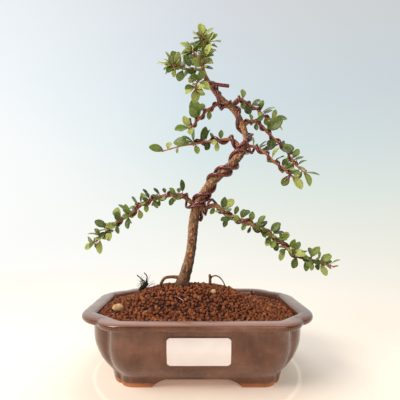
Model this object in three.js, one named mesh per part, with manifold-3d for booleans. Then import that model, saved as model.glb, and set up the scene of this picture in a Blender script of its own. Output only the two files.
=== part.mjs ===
// A wired cotoneaster bonsai in a glazed tray pot, in millimetres, with +Z up.
// The tree is laid out about the middle of the pot; the last lines move the whole
// object so that its origin is at the bottom centre of everything it holds.
import * as THREE from 'three';
import { mergeVertices } from 'three/addons/utils/BufferGeometryUtils.js';
import Module from 'manifold-3d';

const wasm = await Module();
wasm.setup();

// Clearances between neighbouring pieces
const GAP = 0.35;
const WALL_GAP = 0.45;
const WIRE_GAP = 0.65;
const LEAF_GAP = 0.3;

// The pot: a rectangle with notched corners, a wide lip and four corner feet
const POT_HALF_WIDTH = 95.5;
const POT_HALF_DEPTH = 69.5;
const POT_HEIGHT = 55;
const FOOT_HEIGHT = 7;
const FOOT_WIDTH = 9.5;
const FLOOR_TOP = 11;
const CORNER_STEPS = 4;
const FRONT_ARCH = { top: 23, bottom: 35 };
const SIDE_ARCH = { top: 10.2, bottom: 21 };
// The side of an arch between two feet: shares of the way in and of the way up
const ARCH_CURVE = [[0, 0], [0.29, 0.3], [0.63, 0.78], [1, 1]];
const DRAIN_RADIUS = 6;
const DRAIN_X = 32;
// The notches at the left are wider than those at the right: width and depth for their size.
// The sides curve more than the front.
const NOTCH_STRETCH = { left: [1.5, 1.1], right: [1.14, 1.15] };
const ROUND_STRETCH = { across: 1, deep: 1.5 };
const ARC_SHARE = 0.75;
// The pot is a little out of square, as pressed clay dries: it spreads towards the back left
const SPREAD = { from: -30, middle: 40, left: 0.05, back: 0.0004 };
// Outer wall from the feet up: height, distance in from the lip, notch depth, corner radius
const OUTER_WALL = [
  [0, 27, 6, 9],
  [8, 24.2, 7, 11],
  [12, 21, 8, 12.5],
  [17, 17, 9, 14],
  [24, 12.8, 10.5, 15],
  [33, 9.4, 12, 16],
  [47.4, 8, 13, 16.5],
  [49, 3.6, 13, 16.5],
  [51, 0.3, 13.5, 17],
  [POT_HEIGHT, 0.5, 13.5, 17],
];
// Inner wall from the lip down: height, distance in from the lip
const INNER_WALL = [
  [POT_HEIGHT, 11.5],
  [44, 13.4],
  [24, 18.5],
  [FLOOR_TOP, 30],
];
// The opening is a rectangle with cut corners, and its ends stand a little further in
const INNER_CORNER = { left: [28, 24], right: [22, 22] };
const INNER_END_INSET = 1;

// The soil: a mound of baked clay grains
const SOIL_EDGE = { front: 52.5, back: 48.5 };
const MOUND = { rise: 20.5, x: -8, y: 2, spreadX: 58, spreadY: 40, powerX: 3.2, powerY: 2.6 };
const SOIL_RIM_INSET = 1.1;
const SOIL_FOOT_SPREAD = 1.2;
const SOIL_RINGS = 7;
const GRAIN_RELIEF = 1.5;

// Training wire of coated aluminium
const TRUNK_WIRE_RADIUS = 1.75;
const BRANCH_WIRE_RADIUS = 1.25;
const ANCHOR_WIRE_RADIUS = 0.9;

// A blank paper label on the front wall
const LABEL = { x: 1.5, halfWidth: 23.5, low: 22, high: 43.8, corner: 2, thickness: 0.6 };

// Limbs of the tree: each row is x, y, z and radius, from root or trunk to tip
const LIMBS = {
  trunk: [
    [-16, 0, 63, 7.6], [-14, 0, 71, 6.3], [-11.4, 0, 80.5, 5.4], [-7.8, 0, 93.4, 4.8],
    [-5.4, 1, 108, 4.6], [-4.3, 1, 123, 4.7], [-2.4, 1, 136.3, 4.9], [0.9, 0, 145.7, 4.7],
    [6.1, -2, 156, 4.3], [12.6, -5, 165, 4.1], [21.9, -7, 173.3, 4], [31.3, -6, 182, 4.1],
    [38.2, -4, 190, 4], [44.4, -1, 199.4, 3.5], [46.8, 2, 210, 3], [44.8, 4, 220.5, 2.9],
    [40.6, 5, 230.8, 3], [34.7, 4, 239.5, 3.1], [26.7, 2, 245.8, 2.9], [18.8, 0, 253, 2.7],
    [13, -2, 260.2, 2.5], [8.1, -4, 267.2, 2.3], [5.2, -6, 275.2, 1.8], [5.2, -6, 285.2, 1.5],
    [8.1, -5, 295.8, 1.2], [10.1, -4, 304.5, 0.9],
  ],
  lower_left: [
    [-0.5, 0, 142.9, 2.4], [-9, -3, 149.8, 2.3], [-13.5, -5, 152.9, 2.2], [-19, -7, 153.6, 2],
    [-25.3, -9, 153.4, 1.8], [-31.5, -11, 151.9, 1.7], [-38.5, -13, 150.3, 1.6],
    [-45.4, -15, 147, 1.5], [-51.2, -17, 143.2, 1.4], [-56.3, -18, 138.3, 1.3],
    [-61.3, -19, 133.8, 1.2], [-67.2, -20, 130.3, 1.1], [-73.3, -20, 126.3, 1],
    [-78.4, -20, 121.9, 1], [-82.7, -20, 117.1, 0.9], [-87, -20, 113.2, 0.8],
    [-91.3, -20, 110.2, 0.7],
  ],
  lower_right: [
    [0.4, 1, 140.1, 2.4], [7, 0, 141.5, 2.3], [12.7, -1, 143.8, 2.1], [17.3, -2, 144.2, 2],
    [20.9, -4, 141.3, 1.9], [25.4, -6, 136.5, 1.8], [31.7, -8, 132.3, 1.8],
    [38.7, -10, 130.4, 1.8], [45.7, -12, 128.2, 1.7], [51.6, -14, 124.6, 1.6],
    [56.6, -16, 120.6, 1.5], [61.5, -18, 118.8, 1.4], [66.3, -20, 116.3, 1.4],
    [70.9, -22, 112, 1.3], [76.6, -23, 106.5, 1.2], [82.3, -24, 101.9, 1.2],
    [87.9, -25, 98.5, 1.1], [94.4, -26, 96.5, 1], [101.1, -26, 95.3, 0.9],
    [107.1, -26, 93.6, 0.8], [115.5, -26, 90.6, 0.6],
  ],
  middle_left: [
    [40.5, -2, 193.5, 2], [39.8, 1, 200.1, 1.9], [38.1, 3, 205, 1.8], [34.5, 5, 208.7, 1.7],
    [29.8, 7, 210.1, 1.6], [22, 9, 209.6, 1.5], [12.2, 10, 208.9, 1.3], [2.3, 11, 207.7, 1.2],
    [-5.7, 12, 206.6, 1], [-14.7, 13, 205.3, 0.8], [-22.8, 14, 203.5, 0.7],
    [-34.8, 14, 200, 0.6],
  ],
  right_low: [
    [45.5, -1, 202.3, 1.6], [52.3, -5, 199.8, 1.4], [56.5, -8, 197.1, 1.3],
    [60.5, -11, 193.6, 1.2], [64.6, -13, 189.4, 1.1], [68.9, -14, 184.1, 1.1],
    [74, -15, 179.6, 1], [78.2, -16, 176.1, 0.9], [82.4, -17, 172.3, 0.8],
    [85.6, -18, 168.7, 0.7],
  ],
  right_middle: [
    [42.4, 4, 221.5, 1.9], [46.5, 5, 224.8, 1.8], [50.7, 7, 227.7, 1.8], [56, 9, 228.8, 1.7],
    [61.3, 11, 227, 1.6], [66.5, 12, 222.7, 1.5], [71.6, 13, 217.1, 1.3],
    [77.8, 14, 211.5, 1.2], [83.7, 14, 206.4, 1.1], [88.6, 14, 200.8, 1],
    [92.5, 14, 193.9, 0.9], [96, 13, 187.6, 0.8], [100.6, 12, 182.4, 0.7],
    [106.1, 11, 177.2, 0.6],
  ],
  right_top: [
    [30.8, 3, 241, 1.8], [35.1, 7, 246.3, 1.6], [39.4, 10, 251.3, 1.5], [42.7, 12, 253.1, 1.4],
    [47, 14, 251.6, 1.3], [52.4, 16, 248.7, 1.2], [58.8, 18, 245.8, 1.1],
    [64.1, 19, 241.7, 1], [69.3, 20, 237.3, 0.9], [77.5, 20, 232.8, 0.7],
  ],
  upper_left: [
    [22.8, 1, 248.4, 1.7], [18.2, 4, 243.7, 1.5], [12.8, 6, 241.1, 1.4], [8, 7, 237.8, 1.3],
    [2.8, 8, 232.5, 1.1], [-1.4, 8, 228.1, 1], [-5.1, 8, 223.8, 0.9], [-8.3, 8, 221.4, 0.7],
  ],
  apex_left: [
    [5.4, -6, 273.5, 1.4], [0.4, -10, 272.7, 1.1], [-6.1, -14, 271.2, 1],
    [-13.5, -16, 270.6, 0.9], [-19.9, -17, 272.2, 0.8], [-25.5, -17, 274.6, 0.6],
  ],
  apex_back: [
    [5.2, -6, 282, 1.1], [1.8, -1, 288.9, 0.9], [-2.7, 3, 295.8, 0.8], [-6.7, 5, 300.5, 0.6],
  ],
  apex_low: [
    [7, -5, 269.5, 1.3], [3.2, -10, 265.5, 1], [-0.5, -13, 258.1, 0.8], [-1.9, -15, 250.5, 0.6],
  ],
  apex_top: [
    [8.1, -5, 295.8, 1], [5.6, -8, 300.2, 0.8], [3.9, -9, 303.4, 0.7], [3.6, -9, 306.8, 0.6],
  ],
};
// Roots: one arches over the soil, a cut stub stands up, the others spread below the surface
const ROOTS = {
  arch: [
    [-13, 0, 73.5, 2.7], [-16.5, -1, 76.8, 2.1], [-20.5, -2, 78.1, 1.7], [-24.4, -3, 78.4, 1.5],
    [-29.8, -4, 77.5, 1.5], [-32.8, -5, 73.5, 1.5], [-35, -6, 66, 1.6], [-38, -8, 56, 1.2],
  ],
  stub: [
    [-12, 0, 66, 3.2], [1, 0.5, 62.5, 2.4], [10, 0.5, 64.5, 1.8], [11.6, 0, 71.5, 1.5],
    [11.3, 0, 80.5, 1.3],
  ],
  surface_loop: [
    [11.5, 0.2, 74.5, 0.8], [13.6, 0, 78.2, 0.8], [17.2, 0, 79, 0.8], [21, 0.5, 77, 0.75],
    [24.6, 1, 72, 0.7], [26.5, 1, 65.5, 0.7],
  ],
  spread_left: [[-14, 0, 62, 3.6], [-50, 14, 40, 1.2]],
  spread_right: [[-14, 0, 62, 3.6], [40, -3, 38, 1.2]],
  spread_front: [[-14, 0, 62, 3.6], [-12, -34, 36, 1.2]],
  spread_back: [[-14, 0, 62, 3.6], [4, 34, 36, 1.2]],
};

// Where the leafy stretch of each limb starts; the stretch before it belongs to the trunk
const BARE_END = {
  trunk: 21,
  lower_left: 1.6, lower_right: 1.7, middle_left: 2.2, right_low: 0.9, right_middle: 1.6,
  right_top: 1.5, upper_left: 1.2,
};

// Tufts of leaves, by hand: place along the limb, angle in the front view, angle towards the
// viewer, reach of the stalks, number of leaves and length of a blade
const TUFTS = {
  trunk: [
    [22.2, 20, -20, 4, 2, 11], [22.6, 200, 55, 5, 3, 12], [23.1, 10, 40, 4, 2, 10],
    [23.5, 150, -40, 5, 2, 11], [24.1, 25, -15, 4, 2, 10], [24.5, 60, 55, 4, 3, 12],
    [24.8, 35, -30, 6, 2, 13], [25, 75, 10, 3, 4, 12],
  ],
  apex_left: [
    [1.4, 235, 30, 4, 2, 11], [2.2, 110, 20, 5, 2, 12], [2.7, 260, 10, 4, 2, 11],
    [3.4, 115, 5, 7, 2, 15], [3.9, 250, -30, 3, 2, 9], [4.5, 105, 20, 4, 2, 10],
    [4.2, 200, 35, 4, 2, 10], [5, 175, 5, 4, 4, 10],
  ],
  apex_back: [
    [1, 170, 10, 4, 2, 12], [1.9, 200, -20, 5, 3, 12], [2.4, 80, 35, 4, 2, 11],
    [3, 140, 10, 2, 4, 12],
  ],
  apex_low: [
    [1.1, 200, 35, 4, 2, 11], [1.8, 325, 10, 5, 2, 11], [2.4, 215, 10, 4, 2, 11],
    [3, 265, 15, 2, 3, 12],
  ],
  apex_top: [
    [1.1, 190, 15, 5, 2, 12], [1.9, 40, 40, 4, 2, 11], [3, 80, 0, 3, 4, 11],
  ],
  lower_left: [
    [1.9, 75, 0, 7, 1, 11], [2.3, 70, -35, 4, 1, 7], [3.2, 150, 20, 5, 2, 7],
    [3.9, 245, 30, 4, 1, 7], [4.3, 95, -20, 5, 2, 7], [4.9, 125, 10, 5, 2, 8],
    [5.6, 200, 60, 4, 2, 7], [6.1, 300, 0, 5, 2, 8], [6.5, 100, 30, 5, 2, 9],
    [7, 255, 20, 4, 1, 8], [7.5, 110, -10, 5, 3, 8], [8.1, 120, 40, 7, 1, 10],
    [8.4, 285, -10, 5, 1, 10], [9, 80, -40, 5, 2, 8], [9.4, 120, 10, 6, 2, 9],
    [9.9, 260, 25, 5, 2, 9], [10.4, 100, 40, 4, 2, 8], [11, 125, -20, 6, 2, 11],
    [11.4, 255, 0, 5, 2, 8], [12, 100, 35, 4, 2, 8], [12.6, 140, 10, 6, 3, 11],
    [13.1, 280, 15, 5, 2, 9], [13.8, 90, -30, 4, 2, 9], [14.2, 270, 20, 6, 2, 10],
    [14.9, 130, 25, 4, 2, 9], [16, 215, 10, 3, 3, 9],
  ],
  lower_right: [
    [3.6, 255, 20, 5, 1, 7], [4.6, 80, 35, 5, 2, 11.5], [5.2, 265, 25, 4, 1, 8],
    [5.7, 65, -20, 6, 2, 8], [6.3, 70, 20, 7, 2, 9.5], [6.9, 200, 60, 4, 2, 8],
    [7.3, 60, -20, 6, 2, 9], [7.8, 265, 10, 4, 1, 6], [8.2, 75, 25, 6, 3, 8],
    [8.9, 250, -10, 4, 1, 6], [9.3, 55, 10, 5, 2, 9], [9.8, 85, 45, 5, 2, 9],
    [10.4, 70, -20, 5, 2, 9], [11, 50, 10, 7, 3, 9], [11.6, 215, 50, 4, 2, 9],
    [12.2, 75, 0, 5, 2, 9], [12.7, 230, 40, 4, 2, 9], [13.2, 45, 40, 5, 3, 8],
    [13.8, 250, 15, 4, 1, 9], [14.3, 80, -20, 5, 3, 9], [14.9, 70, 20, 5, 3, 9],
    [15.5, 240, 30, 5, 2, 9], [15.9, 75, -10, 7, 2, 9], [16.3, 60, 45, 5, 2, 9],
    [16.8, 270, 20, 4, 2, 8], [17.2, 55, 10, 7, 3, 9.5], [17.7, 265, 35, 4, 2, 8],
    [18.2, 35, 30, 5, 3, 9.5], [18.8, 290, 10, 5, 2, 9], [19.2, 60, -10, 4, 2, 8],
  ],
  middle_left: [
    [4.9, 275, 15, 4, 1, 8], [5.2, 75, 10, 3, 2, 9], [5.7, 95, -10, 3, 1, 8],
    [6, 240, 20, 4, 2, 9], [6.5, 80, 20, 3, 2, 10], [7.3, 85, 15, 3, 3, 14],
    [7.6, 285, 10, 3, 1, 8], [8.1, 115, 25, 3, 2, 16], [9.6, 250, 10, 3, 1, 5],
    [10.4, 80, -20, 2, 1, 8], [11, 165, 15, 2, 1, 15.5],
  ],
  right_low: [
    [1.5, 75, 10, 3, 2, 9], [2.1, 35, 30, 3, 2, 9], [3.4, 40, -20, 3, 1, 9],
    [5.2, 75, 10, 5, 3, 10], [6, 50, -10, 5, 2, 10], [6.8, 60, 25, 4, 3, 10],
    [7.7, 65, 0, 4, 2, 10], [9, 305, 10, 3, 2, 12],
  ],
  right_middle: [
    [2.6, 70, -20, 3, 2, 9], [3.1, 265, 20, 5, 2, 9], [5.6, 10, 25, 4, 1, 15],
    [6.4, 245, 25, 4, 1, 14], [7.6, 335, 10, 4, 2, 11], [8.2, 215, 35, 4, 2, 11],
    [9.6, 60, -10, 3, 2, 11], [10.4, 20, 20, 4, 3, 11], [11, 240, 20, 3, 2, 11],
    [11.5, 35, -20, 5, 2, 10], [12.1, 250, 0, 3, 2, 10], [13, 10, 10, 2, 2, 13],
  ],
  right_top: [
    [3.4, 75, 0, 4, 1, 12], [4.2, 255, 10, 3, 2, 10], [5, 30, 30, 3, 2, 9],
    [6.1, 275, 20, 3, 1, 9], [6.8, 95, 10, 4, 1, 11], [7.1, 40, 15, 4, 2, 13],
    [8, 280, -10, 3, 1, 8], [9, 70, 10, 3, 2, 12], [9, 15, 15, 3, 2, 13],
  ],
  upper_left: [
    [2.4, 265, 10, 3, 1, 8], [3.4, 105, 10, 4, 1, 9], [4.2, 120, 20, 4, 2, 15],
    [4.6, 150, 10, 3, 1, 15], [6.4, 105, 0, 4, 2, 10], [7, 190, 15, 3, 3, 13],
  ],
};
const SPRAYS = {
  leaves_lower_left: ['lower_left'],
  leaves_lower_right: ['lower_right'],
  leaves_middle_left: ['middle_left'],
  leaves_right_low: ['right_low'],
  leaves_right_middle: ['right_middle'],
  leaves_right_top: ['right_top'],
  leaves_upper_left: ['upper_left'],
  leaves_apex: ['trunk', 'apex_left', 'apex_back', 'apex_low', 'apex_top'],
};

// Wires: the limbs each one follows with its turns there, and free ends set by hand
const WIRES = {
  trunk_wire_1: {
    radius: TRUNK_WIRE_RADIUS, phase: 150, sides: 5, step: 5,
    route: [{ limb: 'trunk', from: 5.6, to: 20.4, pitch: 32, hand: 1 }],
    tail: [[2.2, -8, 262.6], [8, -10, 259.5], [16, -11, 258.2], [30, -13, 255.6]],
  },
  trunk_wire_2: {
    radius: TRUNK_WIRE_RADIUS, phase: 350, sides: 5, step: 5,
    route: [
      { limb: 'trunk', from: 6.35, to: 11.9, pitch: 32, hand: 1 },
      { limb: 'middle_left', from: 0.8, to: 8, pitch: 17, hand: 1 },
    ],
  },
  lower_branch_wire: {
    radius: BRANCH_WIRE_RADIUS, phase: 200, sides: 5, step: 4.1,
    route: [
      { limb: 'lower_left', from: 14.2, to: 0.9, pitch: 15, hand: -1 },
      { limb: 'trunk', from: 6.8, to: 6.2, pitch: 15, hand: -1 },
      { limb: 'lower_right', from: 1, to: 17.6, pitch: 19, hand: -1 },
    ],
  },
  right_branch_wire: {
    radius: BRANCH_WIRE_RADIUS, phase: 90, sides: 5, step: 3.7,
    head: [[77.6, -18, 164.6], [81.4, -18.5, 167]],
    route: [
      { limb: 'right_low', from: 9, to: 0.8, pitch: 13, hand: 1 },
      { limb: 'trunk', from: 13.5, to: 14.9, pitch: 24, hand: 1 },
      { limb: 'right_middle', from: 0.9, to: 11.6, pitch: 14, hand: 1 },
    ],
  },
  top_branch_wire: {
    radius: BRANCH_WIRE_RADIUS, phase: 0, sides: 5, step: 3.6,
    route: [
      { limb: 'right_top', from: 8.6, to: 0.9, pitch: 12, hand: -1 },
      { limb: 'trunk', from: 17.5, to: 18.4, pitch: 20, hand: -1 },
      { limb: 'upper_left', from: 0.9, to: 6.6, pitch: 12, hand: -1 },
    ],
    tail: [[-7.6, 5, 226.5], [-8, 4.4, 231]],
  },
};

// Finishes: colour and roughness
const FINISHES = {
  glaze: [0x6b4c3f, 0.3], soil: [0x6e3a22, 0.95], bark: [0x7a5540, 0.8], leaf: [0x6f8f34, 0.45],
  wire: [0x5a2420, 0.35], stone: [0xc0935a, 0.8], paper: [0xf2e6dd, 0.7], screen: [0x202020, 0.6],
  tuft: [0x1e1712, 0.9],
};

// Random numbers from 0 to 1, the same for the same seed
function randomFrom(seed) {
  let state = seed >>> 0;
  return () => {
    state = (state + 0x6d2b79f5) >>> 0;
    let t = state;
    t = Math.imul(t ^ (t >>> 15), t | 1);
    t ^= t + Math.imul(t ^ (t >>> 7), t | 61);
    return ((t ^ (t >>> 14)) >>> 0) / 4294967296;
  };
}

// Vectors as plain arrays
const add = (a, b) => a.map((v, i) => v + b[i]);
const sub = (a, b) => a.map((v, i) => v - b[i]);
const scale = (a, k) => a.map((v) => v * k);
const dot = (a, b) => a[0] * b[0] + a[1] * b[1] + a[2] * b[2];
const cross = (a, b) => [
  a[1] * b[2] - a[2] * b[1], a[2] * b[0] - a[0] * b[2], a[0] * b[1] - a[1] * b[0],
];
const length = (a) => Math.sqrt(dot(a, a));
const unit = (a) => scale(a, 1 / length(a));
const mix = (a, b, t) => a.map((v, i) => v + (b[i] - v) * t);
const across = (a, direction) => unit(sub(a, scale(direction, dot(a, direction))));
const radians = (degrees) => (degrees * Math.PI) / 180;

// A point of the smooth curve through the rows; u counts rows, so 2.5 is half way past row 2
function splineAt(rows, u) {
  const last = rows.length - 1;
  const i = Math.min(Math.max(Math.floor(u), 0), last - 1);
  const t = u - i;
  const p1 = rows[i];
  const p2 = rows[i + 1];
  const p0 = i > 0 ? rows[i - 1] : sub(scale(p1, 2), p2);
  const p3 = i + 2 <= last ? rows[i + 2] : sub(scale(p2, 2), p1);
  return p1.map((v, k) => v + 0.5 * t * (p2[k] - p0[k]
    + t * (2 * p0[k] - 5 * v + 4 * p2[k] - p3[k]
      + t * (3 * v - p0[k] - 3 * p2[k] + p3[k]))));
}

// Rows of the curve from u = from to u = to, about perRow of them for each row passed, each
// with the curve's direction there
function sampleSpline(rows, from, to, perRow) {
  const count = Math.max(1, Math.ceil(Math.abs(to - from) * perRow - 1e-9));
  const sign = Math.sign(to - from);
  return Array.from({ length: count + 1 }, (_, k) => {
    const u = from + ((to - from) * k) / count;
    const ahead = sub(splineAt(rows, u + 0.01), splineAt(rows, u - 0.01)).slice(0, 3);
    return [...splineAt(rows, u), ...scale(unit(ahead), sign)];
  });
}

// Distance between the two rows around u
function rowSpacing(rows, u) {
  const i = Math.min(Math.floor(u), rows.length - 2);
  return length(sub(rows[i + 1], rows[i]).slice(0, 3));
}

// The same line with points a fixed distance apart
function resample(points, spacing) {
  const lengths = [0];
  for (let i = 1; i < points.length; i += 1) {
    lengths.push(lengths[i - 1] + length(sub(points[i], points[i - 1])));
  }
  const total = lengths[lengths.length - 1];
  const count = Math.max(1, Math.round(total / spacing));
  const result = [];
  let i = 1;
  for (let k = 0; k <= count; k += 1) {
    const at = (total * k) / count;
    while (i < points.length - 1 && lengths[i] < at) {
      i += 1;
    }
    result.push(mix(points[i - 1], points[i], (at - lengths[i - 1]) / (lengths[i] - lengths[i - 1])));
  }
  return result;
}

// Direction of travel at each point
function tangents(points) {
  return points.map((_, i) => {
    const before = points[Math.max(i - 1, 0)];
    const after = points[Math.min(i + 1, points.length - 1)];
    return unit(sub(after, before).slice(0, 3));
  });
}

// Side vectors carried along the line without twisting
function sideVectors(directions) {
  const first = directions[0];
  const sides = [unit(cross(first, Math.abs(first[2]) < 0.9 ? [0, 0, 1] : [0, 1, 0]))];
  for (let i = 1; i < directions.length; i += 1) {
    sides.push(across(sides[i - 1], directions[i]));
  }
  return sides;
}

// A closed body through rings of points, each ring with as many points, capped at both ends.
// A ring with a notch needs its cap fanned from a point in the middle. With a root or a tip,
// the body runs on from its first or last ring to that point.
function loft(rings, { notched = false, root = null, tip = null } = {}) {
  const count = rings[0].length;
  const positions = rings.flat(2);
  const index = [];
  for (let r = 0; r < rings.length - 1; r += 1) {
    for (let k = 0; k < count; k += 1) {
      const a = r * count + k;
      const b = r * count + ((k + 1) % count);
      index.push(a, b, b + count, a, b + count, a + count);
    }
  }
  const cap = (first, direction, point) => {
    const next = (k) => first + ((k + count) % count);
    if (point) {
      const middle = positions.push(...point) / 3 - 1;
      for (let k = 0; k < count; k += 1) {
        index.push(middle, next(k), next(k + direction));
      }
    } else {
      for (let k = 1; k < count - 1; k += 1) {
        index.push(first, next(k * direction), next((k + 1) * direction));
      }
    }
  };
  const middle = (ring) => (notched ? scale(ring.reduce(add), 1 / count) : null);
  cap(0, -1, root ?? middle(rings[0]));
  cap((rings.length - 1) * count, 1, tip ?? middle(rings[rings.length - 1]));
  const geometry = new THREE.BufferGeometry();
  geometry.setAttribute('position', new THREE.Float32BufferAttribute(positions, 3));
  geometry.setIndex(index);
  return geometry;
}

// A round tube through rows of x, y, z and radius; extra grows it all round and at both ends
function tube(rows, sides, extra = 0) {
  const directions = rows[0].length > 4 ? rows.map((row) => row.slice(4, 7)) : tangents(rows);
  const sideways = sideVectors(directions);
  return loft(rows.map((row, i) => {
    const up = cross(directions[i], sideways[i]);
    const beyond = extra * ((i === rows.length - 1) - (i === 0));
    const middle = add(row.slice(0, 3), scale(directions[i], beyond));
    return Array.from({ length: sides }, (_, k) => {
      const angle = (2 * Math.PI * k) / sides;
      const out = add(scale(sideways[i], Math.cos(angle)), scale(up, Math.sin(angle)));
      return add(middle, scale(out, row[3] + extra));
    });
  }));
}

// Solids for joining and cutting
function solid(geometry) {
  const bare = geometry.clone();
  bare.deleteAttribute('normal');
  bare.deleteAttribute('uv');
  const merged = mergeVertices(bare, 1e-5);
  return new wasm.Manifold(new wasm.Mesh({
    numProp: 3,
    vertProperties: new Float32Array(merged.attributes.position.array),
    triVerts: new Uint32Array(merged.index.array),
  }));
}

const joined = (solids) => solids.reduce((whole, next) => whole.add(next));

function geometryOf(body) {
  const mesh = body.getMesh();
  const geometry = new THREE.BufferGeometry();
  geometry.setAttribute('position', new THREE.BufferAttribute(new Float32Array(mesh.vertProperties), 3));
  geometry.setIndex(new THREE.BufferAttribute(new Uint32Array(mesh.triVerts), 1));
  return geometry;
}

// The largest connected surface, without the scraps that a cut leaves or a sealed hollow
function largestBody(body) {
  const bodies = body.decompose();
  return bodies.reduce((best, next) => (next.volume() > best.volume() ? next : best));
}

// An outline of the pot, anticlockwise seen from above: the front right corner and the front
// left one, which is given mirrored, and the same two again at the back
function mirrorCorners(right, left) {
  const backRight = right.map(([x, y]) => [x, -y]).reverse();
  const backLeft = left.map(([x, y]) => [-x, -y]);
  const frontLeft = left.map(([x, y]) => [-x, y]).reverse();
  return [...right, ...backRight, ...backLeft, ...frontLeft];
}

function outOfSquare([x, y]) {
  const back = Math.max(0, y - SPREAD.from);
  const lean = SPREAD.left * back * Math.min(1, Math.max(0, -x) / SPREAD.middle);
  return [x - lean, y - SPREAD.back * x * back];
}

// Two shallow arcs, part arc and part straight, meet in a cusp at each corner
function outerCorner([, inset, notch, round], [across, deep]) {
  const halfWidth = POT_HALF_WIDTH - inset;
  const halfDepth = POT_HALF_DEPTH - inset;
  const size = [notch * across, notch * deep];
  const bend = [round * ROUND_STRETCH.across, round * ROUND_STRETCH.deep];
  const cusp = [halfWidth - size[0], -(halfDepth - size[1])];
  const rise = (t) => t + ARC_SHARE * (Math.sin((Math.PI / 2) * t) - t);
  const drop = (t) => t + ARC_SHARE * (1 - Math.cos((Math.PI / 2) * t) - t);
  const corner = [];
  for (let k = 0; k <= CORNER_STEPS; k += 1) {
    const t = k / CORNER_STEPS;
    corner.push([cusp[0] - bend[0] * (1 - rise(t)), cusp[1] - size[1] * (1 - drop(t))]);
  }
  for (let k = 1; k <= CORNER_STEPS; k += 1) {
    const t = k / CORNER_STEPS;
    corner.push([cusp[0] + size[0] * rise(t), cusp[1] + bend[1] * drop(t)]);
  }
  return corner;
}

function outerOutline(row) {
  const right = outerCorner(row, NOTCH_STRETCH.right);
  const left = outerCorner(row, NOTCH_STRETCH.left);
  return mirrorCorners(right, left).map((point) => [...outOfSquare(point), row[0]]);
}

function innerOutline([z, inset], clear = 0) {
  const halfWidth = POT_HALF_WIDTH - inset - INNER_END_INSET - clear;
  const halfDepth = POT_HALF_DEPTH - inset - clear;
  const steps = 2 * CORNER_STEPS;
  const [right, left] = [INNER_CORNER.right, INNER_CORNER.left].map(([across, deep]) => {
    const start = [halfWidth - across, -halfDepth];
    const end = [halfWidth, deep - halfDepth];
    return Array.from({ length: steps + 1 }, (_, k) => mix(start, end, k / steps));
  });
  return mirrorCorners(right, left).map((point) => [...outOfSquare(point), z]);
}

function wallInset(z) {
  const i = OUTER_WALL.findIndex((row) => row[0] >= z);
  const [low, high] = [OUTER_WALL[i - 1], OUTER_WALL[i]];
  return low[1] + ((high[1] - low[1]) * (z - low[0])) / (high[0] - low[0]);
}

// A prism along Y (or X) under the pot that leaves the arch between two feet
function footArch({ top, bottom }, halfLength, alongX) {
  const right = ARCH_CURVE.map(([inward, up]) => [bottom + (top - bottom) * inward, FOOT_HEIGHT * up]);
  const left = right.map(([x, z]) => [-x, z]).reverse();
  const outline = [[bottom, -1], ...right, ...left, [-bottom, -1]];
  const shape = new THREE.Shape(outline.map(([x, z]) => new THREE.Vector2(x, z)));
  const geometry = new THREE.ExtrudeGeometry(shape, { depth: 2 * halfLength, bevelEnabled: false });
  geometry.translate(0, 0, -halfLength);
  geometry.rotateX(Math.PI / 2);
  if (alongX) {
    geometry.rotateZ(Math.PI / 2);
  }
  return solid(geometry);
}

function makePot() {
  const rings = [...OUTER_WALL.map(outerOutline), ...INNER_WALL.map((row) => innerOutline(row))];
  let pot = solid(loft(rings, { notched: true }));
  const base = OUTER_WALL[0][1];
  const recess = new THREE.BoxGeometry(
    2 * (POT_HALF_WIDTH - base - FOOT_WIDTH), 2 * (POT_HALF_DEPTH - base - FOOT_WIDTH), FOOT_HEIGHT + 1,
  );
  recess.translate(0, 0, (FOOT_HEIGHT - 1) / 2);
  pot = pot.subtract(solid(recess));
  pot = pot.subtract(footArch(FRONT_ARCH, POT_HALF_DEPTH, false));
  pot = pot.subtract(footArch(SIDE_ARCH, POT_HALF_WIDTH, true));
  for (const side of [-1, 1]) {
    const drain = new THREE.CylinderGeometry(DRAIN_RADIUS, DRAIN_RADIUS, 3 * FLOOR_TOP, 12);
    drain.rotateX(Math.PI / 2);
    drain.translate(side * DRAIN_X, 0, FLOOR_TOP);
    pot = pot.subtract(solid(drain));
  }
  return pot;
}

// A plastic screen that lies over one drain hole
const SCREEN = { size: 20, thickness: 1.2, slot: 3.2, slotLength: 14, pitch: 5.4 };
function makeScreen(x) {
  const { size, thickness, slot, slotLength, pitch } = SCREEN;
  const z = FLOOR_TOP + GAP + thickness / 2;
  const plate = new THREE.BoxGeometry(size, size, thickness);
  plate.translate(x, 0, z);
  let screen = solid(plate);
  for (const i of [-1, 0, 1]) {
    const opening = new THREE.BoxGeometry(slot, slotLength, 3 * thickness);
    opening.translate(x + i * pitch, 0, z);
    screen = screen.subtract(solid(opening));
  }
  return screen;
}

// The anchor wire: under the floor, up both drain holes, and out at the surface in front
const ANCHOR_X = DRAIN_X - 0.8;
const ANCHOR_TIE = [
  [-11, -31, 62.6], [-17, -26.5, 65.2], [-22, -20, 60], [-ANCHOR_X, 0, 24],
  [-ANCHOR_X, 0, 8], [-ANCHOR_X + 4, 0, 5], [ANCHOR_X - 4, 0, 5], [ANCHOR_X, 0, 8],
  [ANCHOR_X, 0, 24], [20, -14, 52],
];
const anchorTube = (extra = 0) => {
  const rows = ANCHOR_TIE.map((p) => [...p, ANCHOR_WIRE_RADIUS]);
  return solid(tube(sampleSpline(rows, 0, rows.length - 1, 1.4), 5, extra));
};

function soilHeight(x, y) {
  const along = Math.pow(Math.abs(x - MOUND.x) / MOUND.spreadX, MOUND.powerX);
  const deep = Math.pow(Math.abs(y - MOUND.y) / MOUND.spreadY, MOUND.powerY);
  const edge = SOIL_EDGE.front + (SOIL_EDGE.back - SOIL_EDGE.front) * (0.5 + y / (2 * POT_HALF_DEPTH));
  return edge + MOUND.rise * Math.exp(-along - deep);
}

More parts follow.
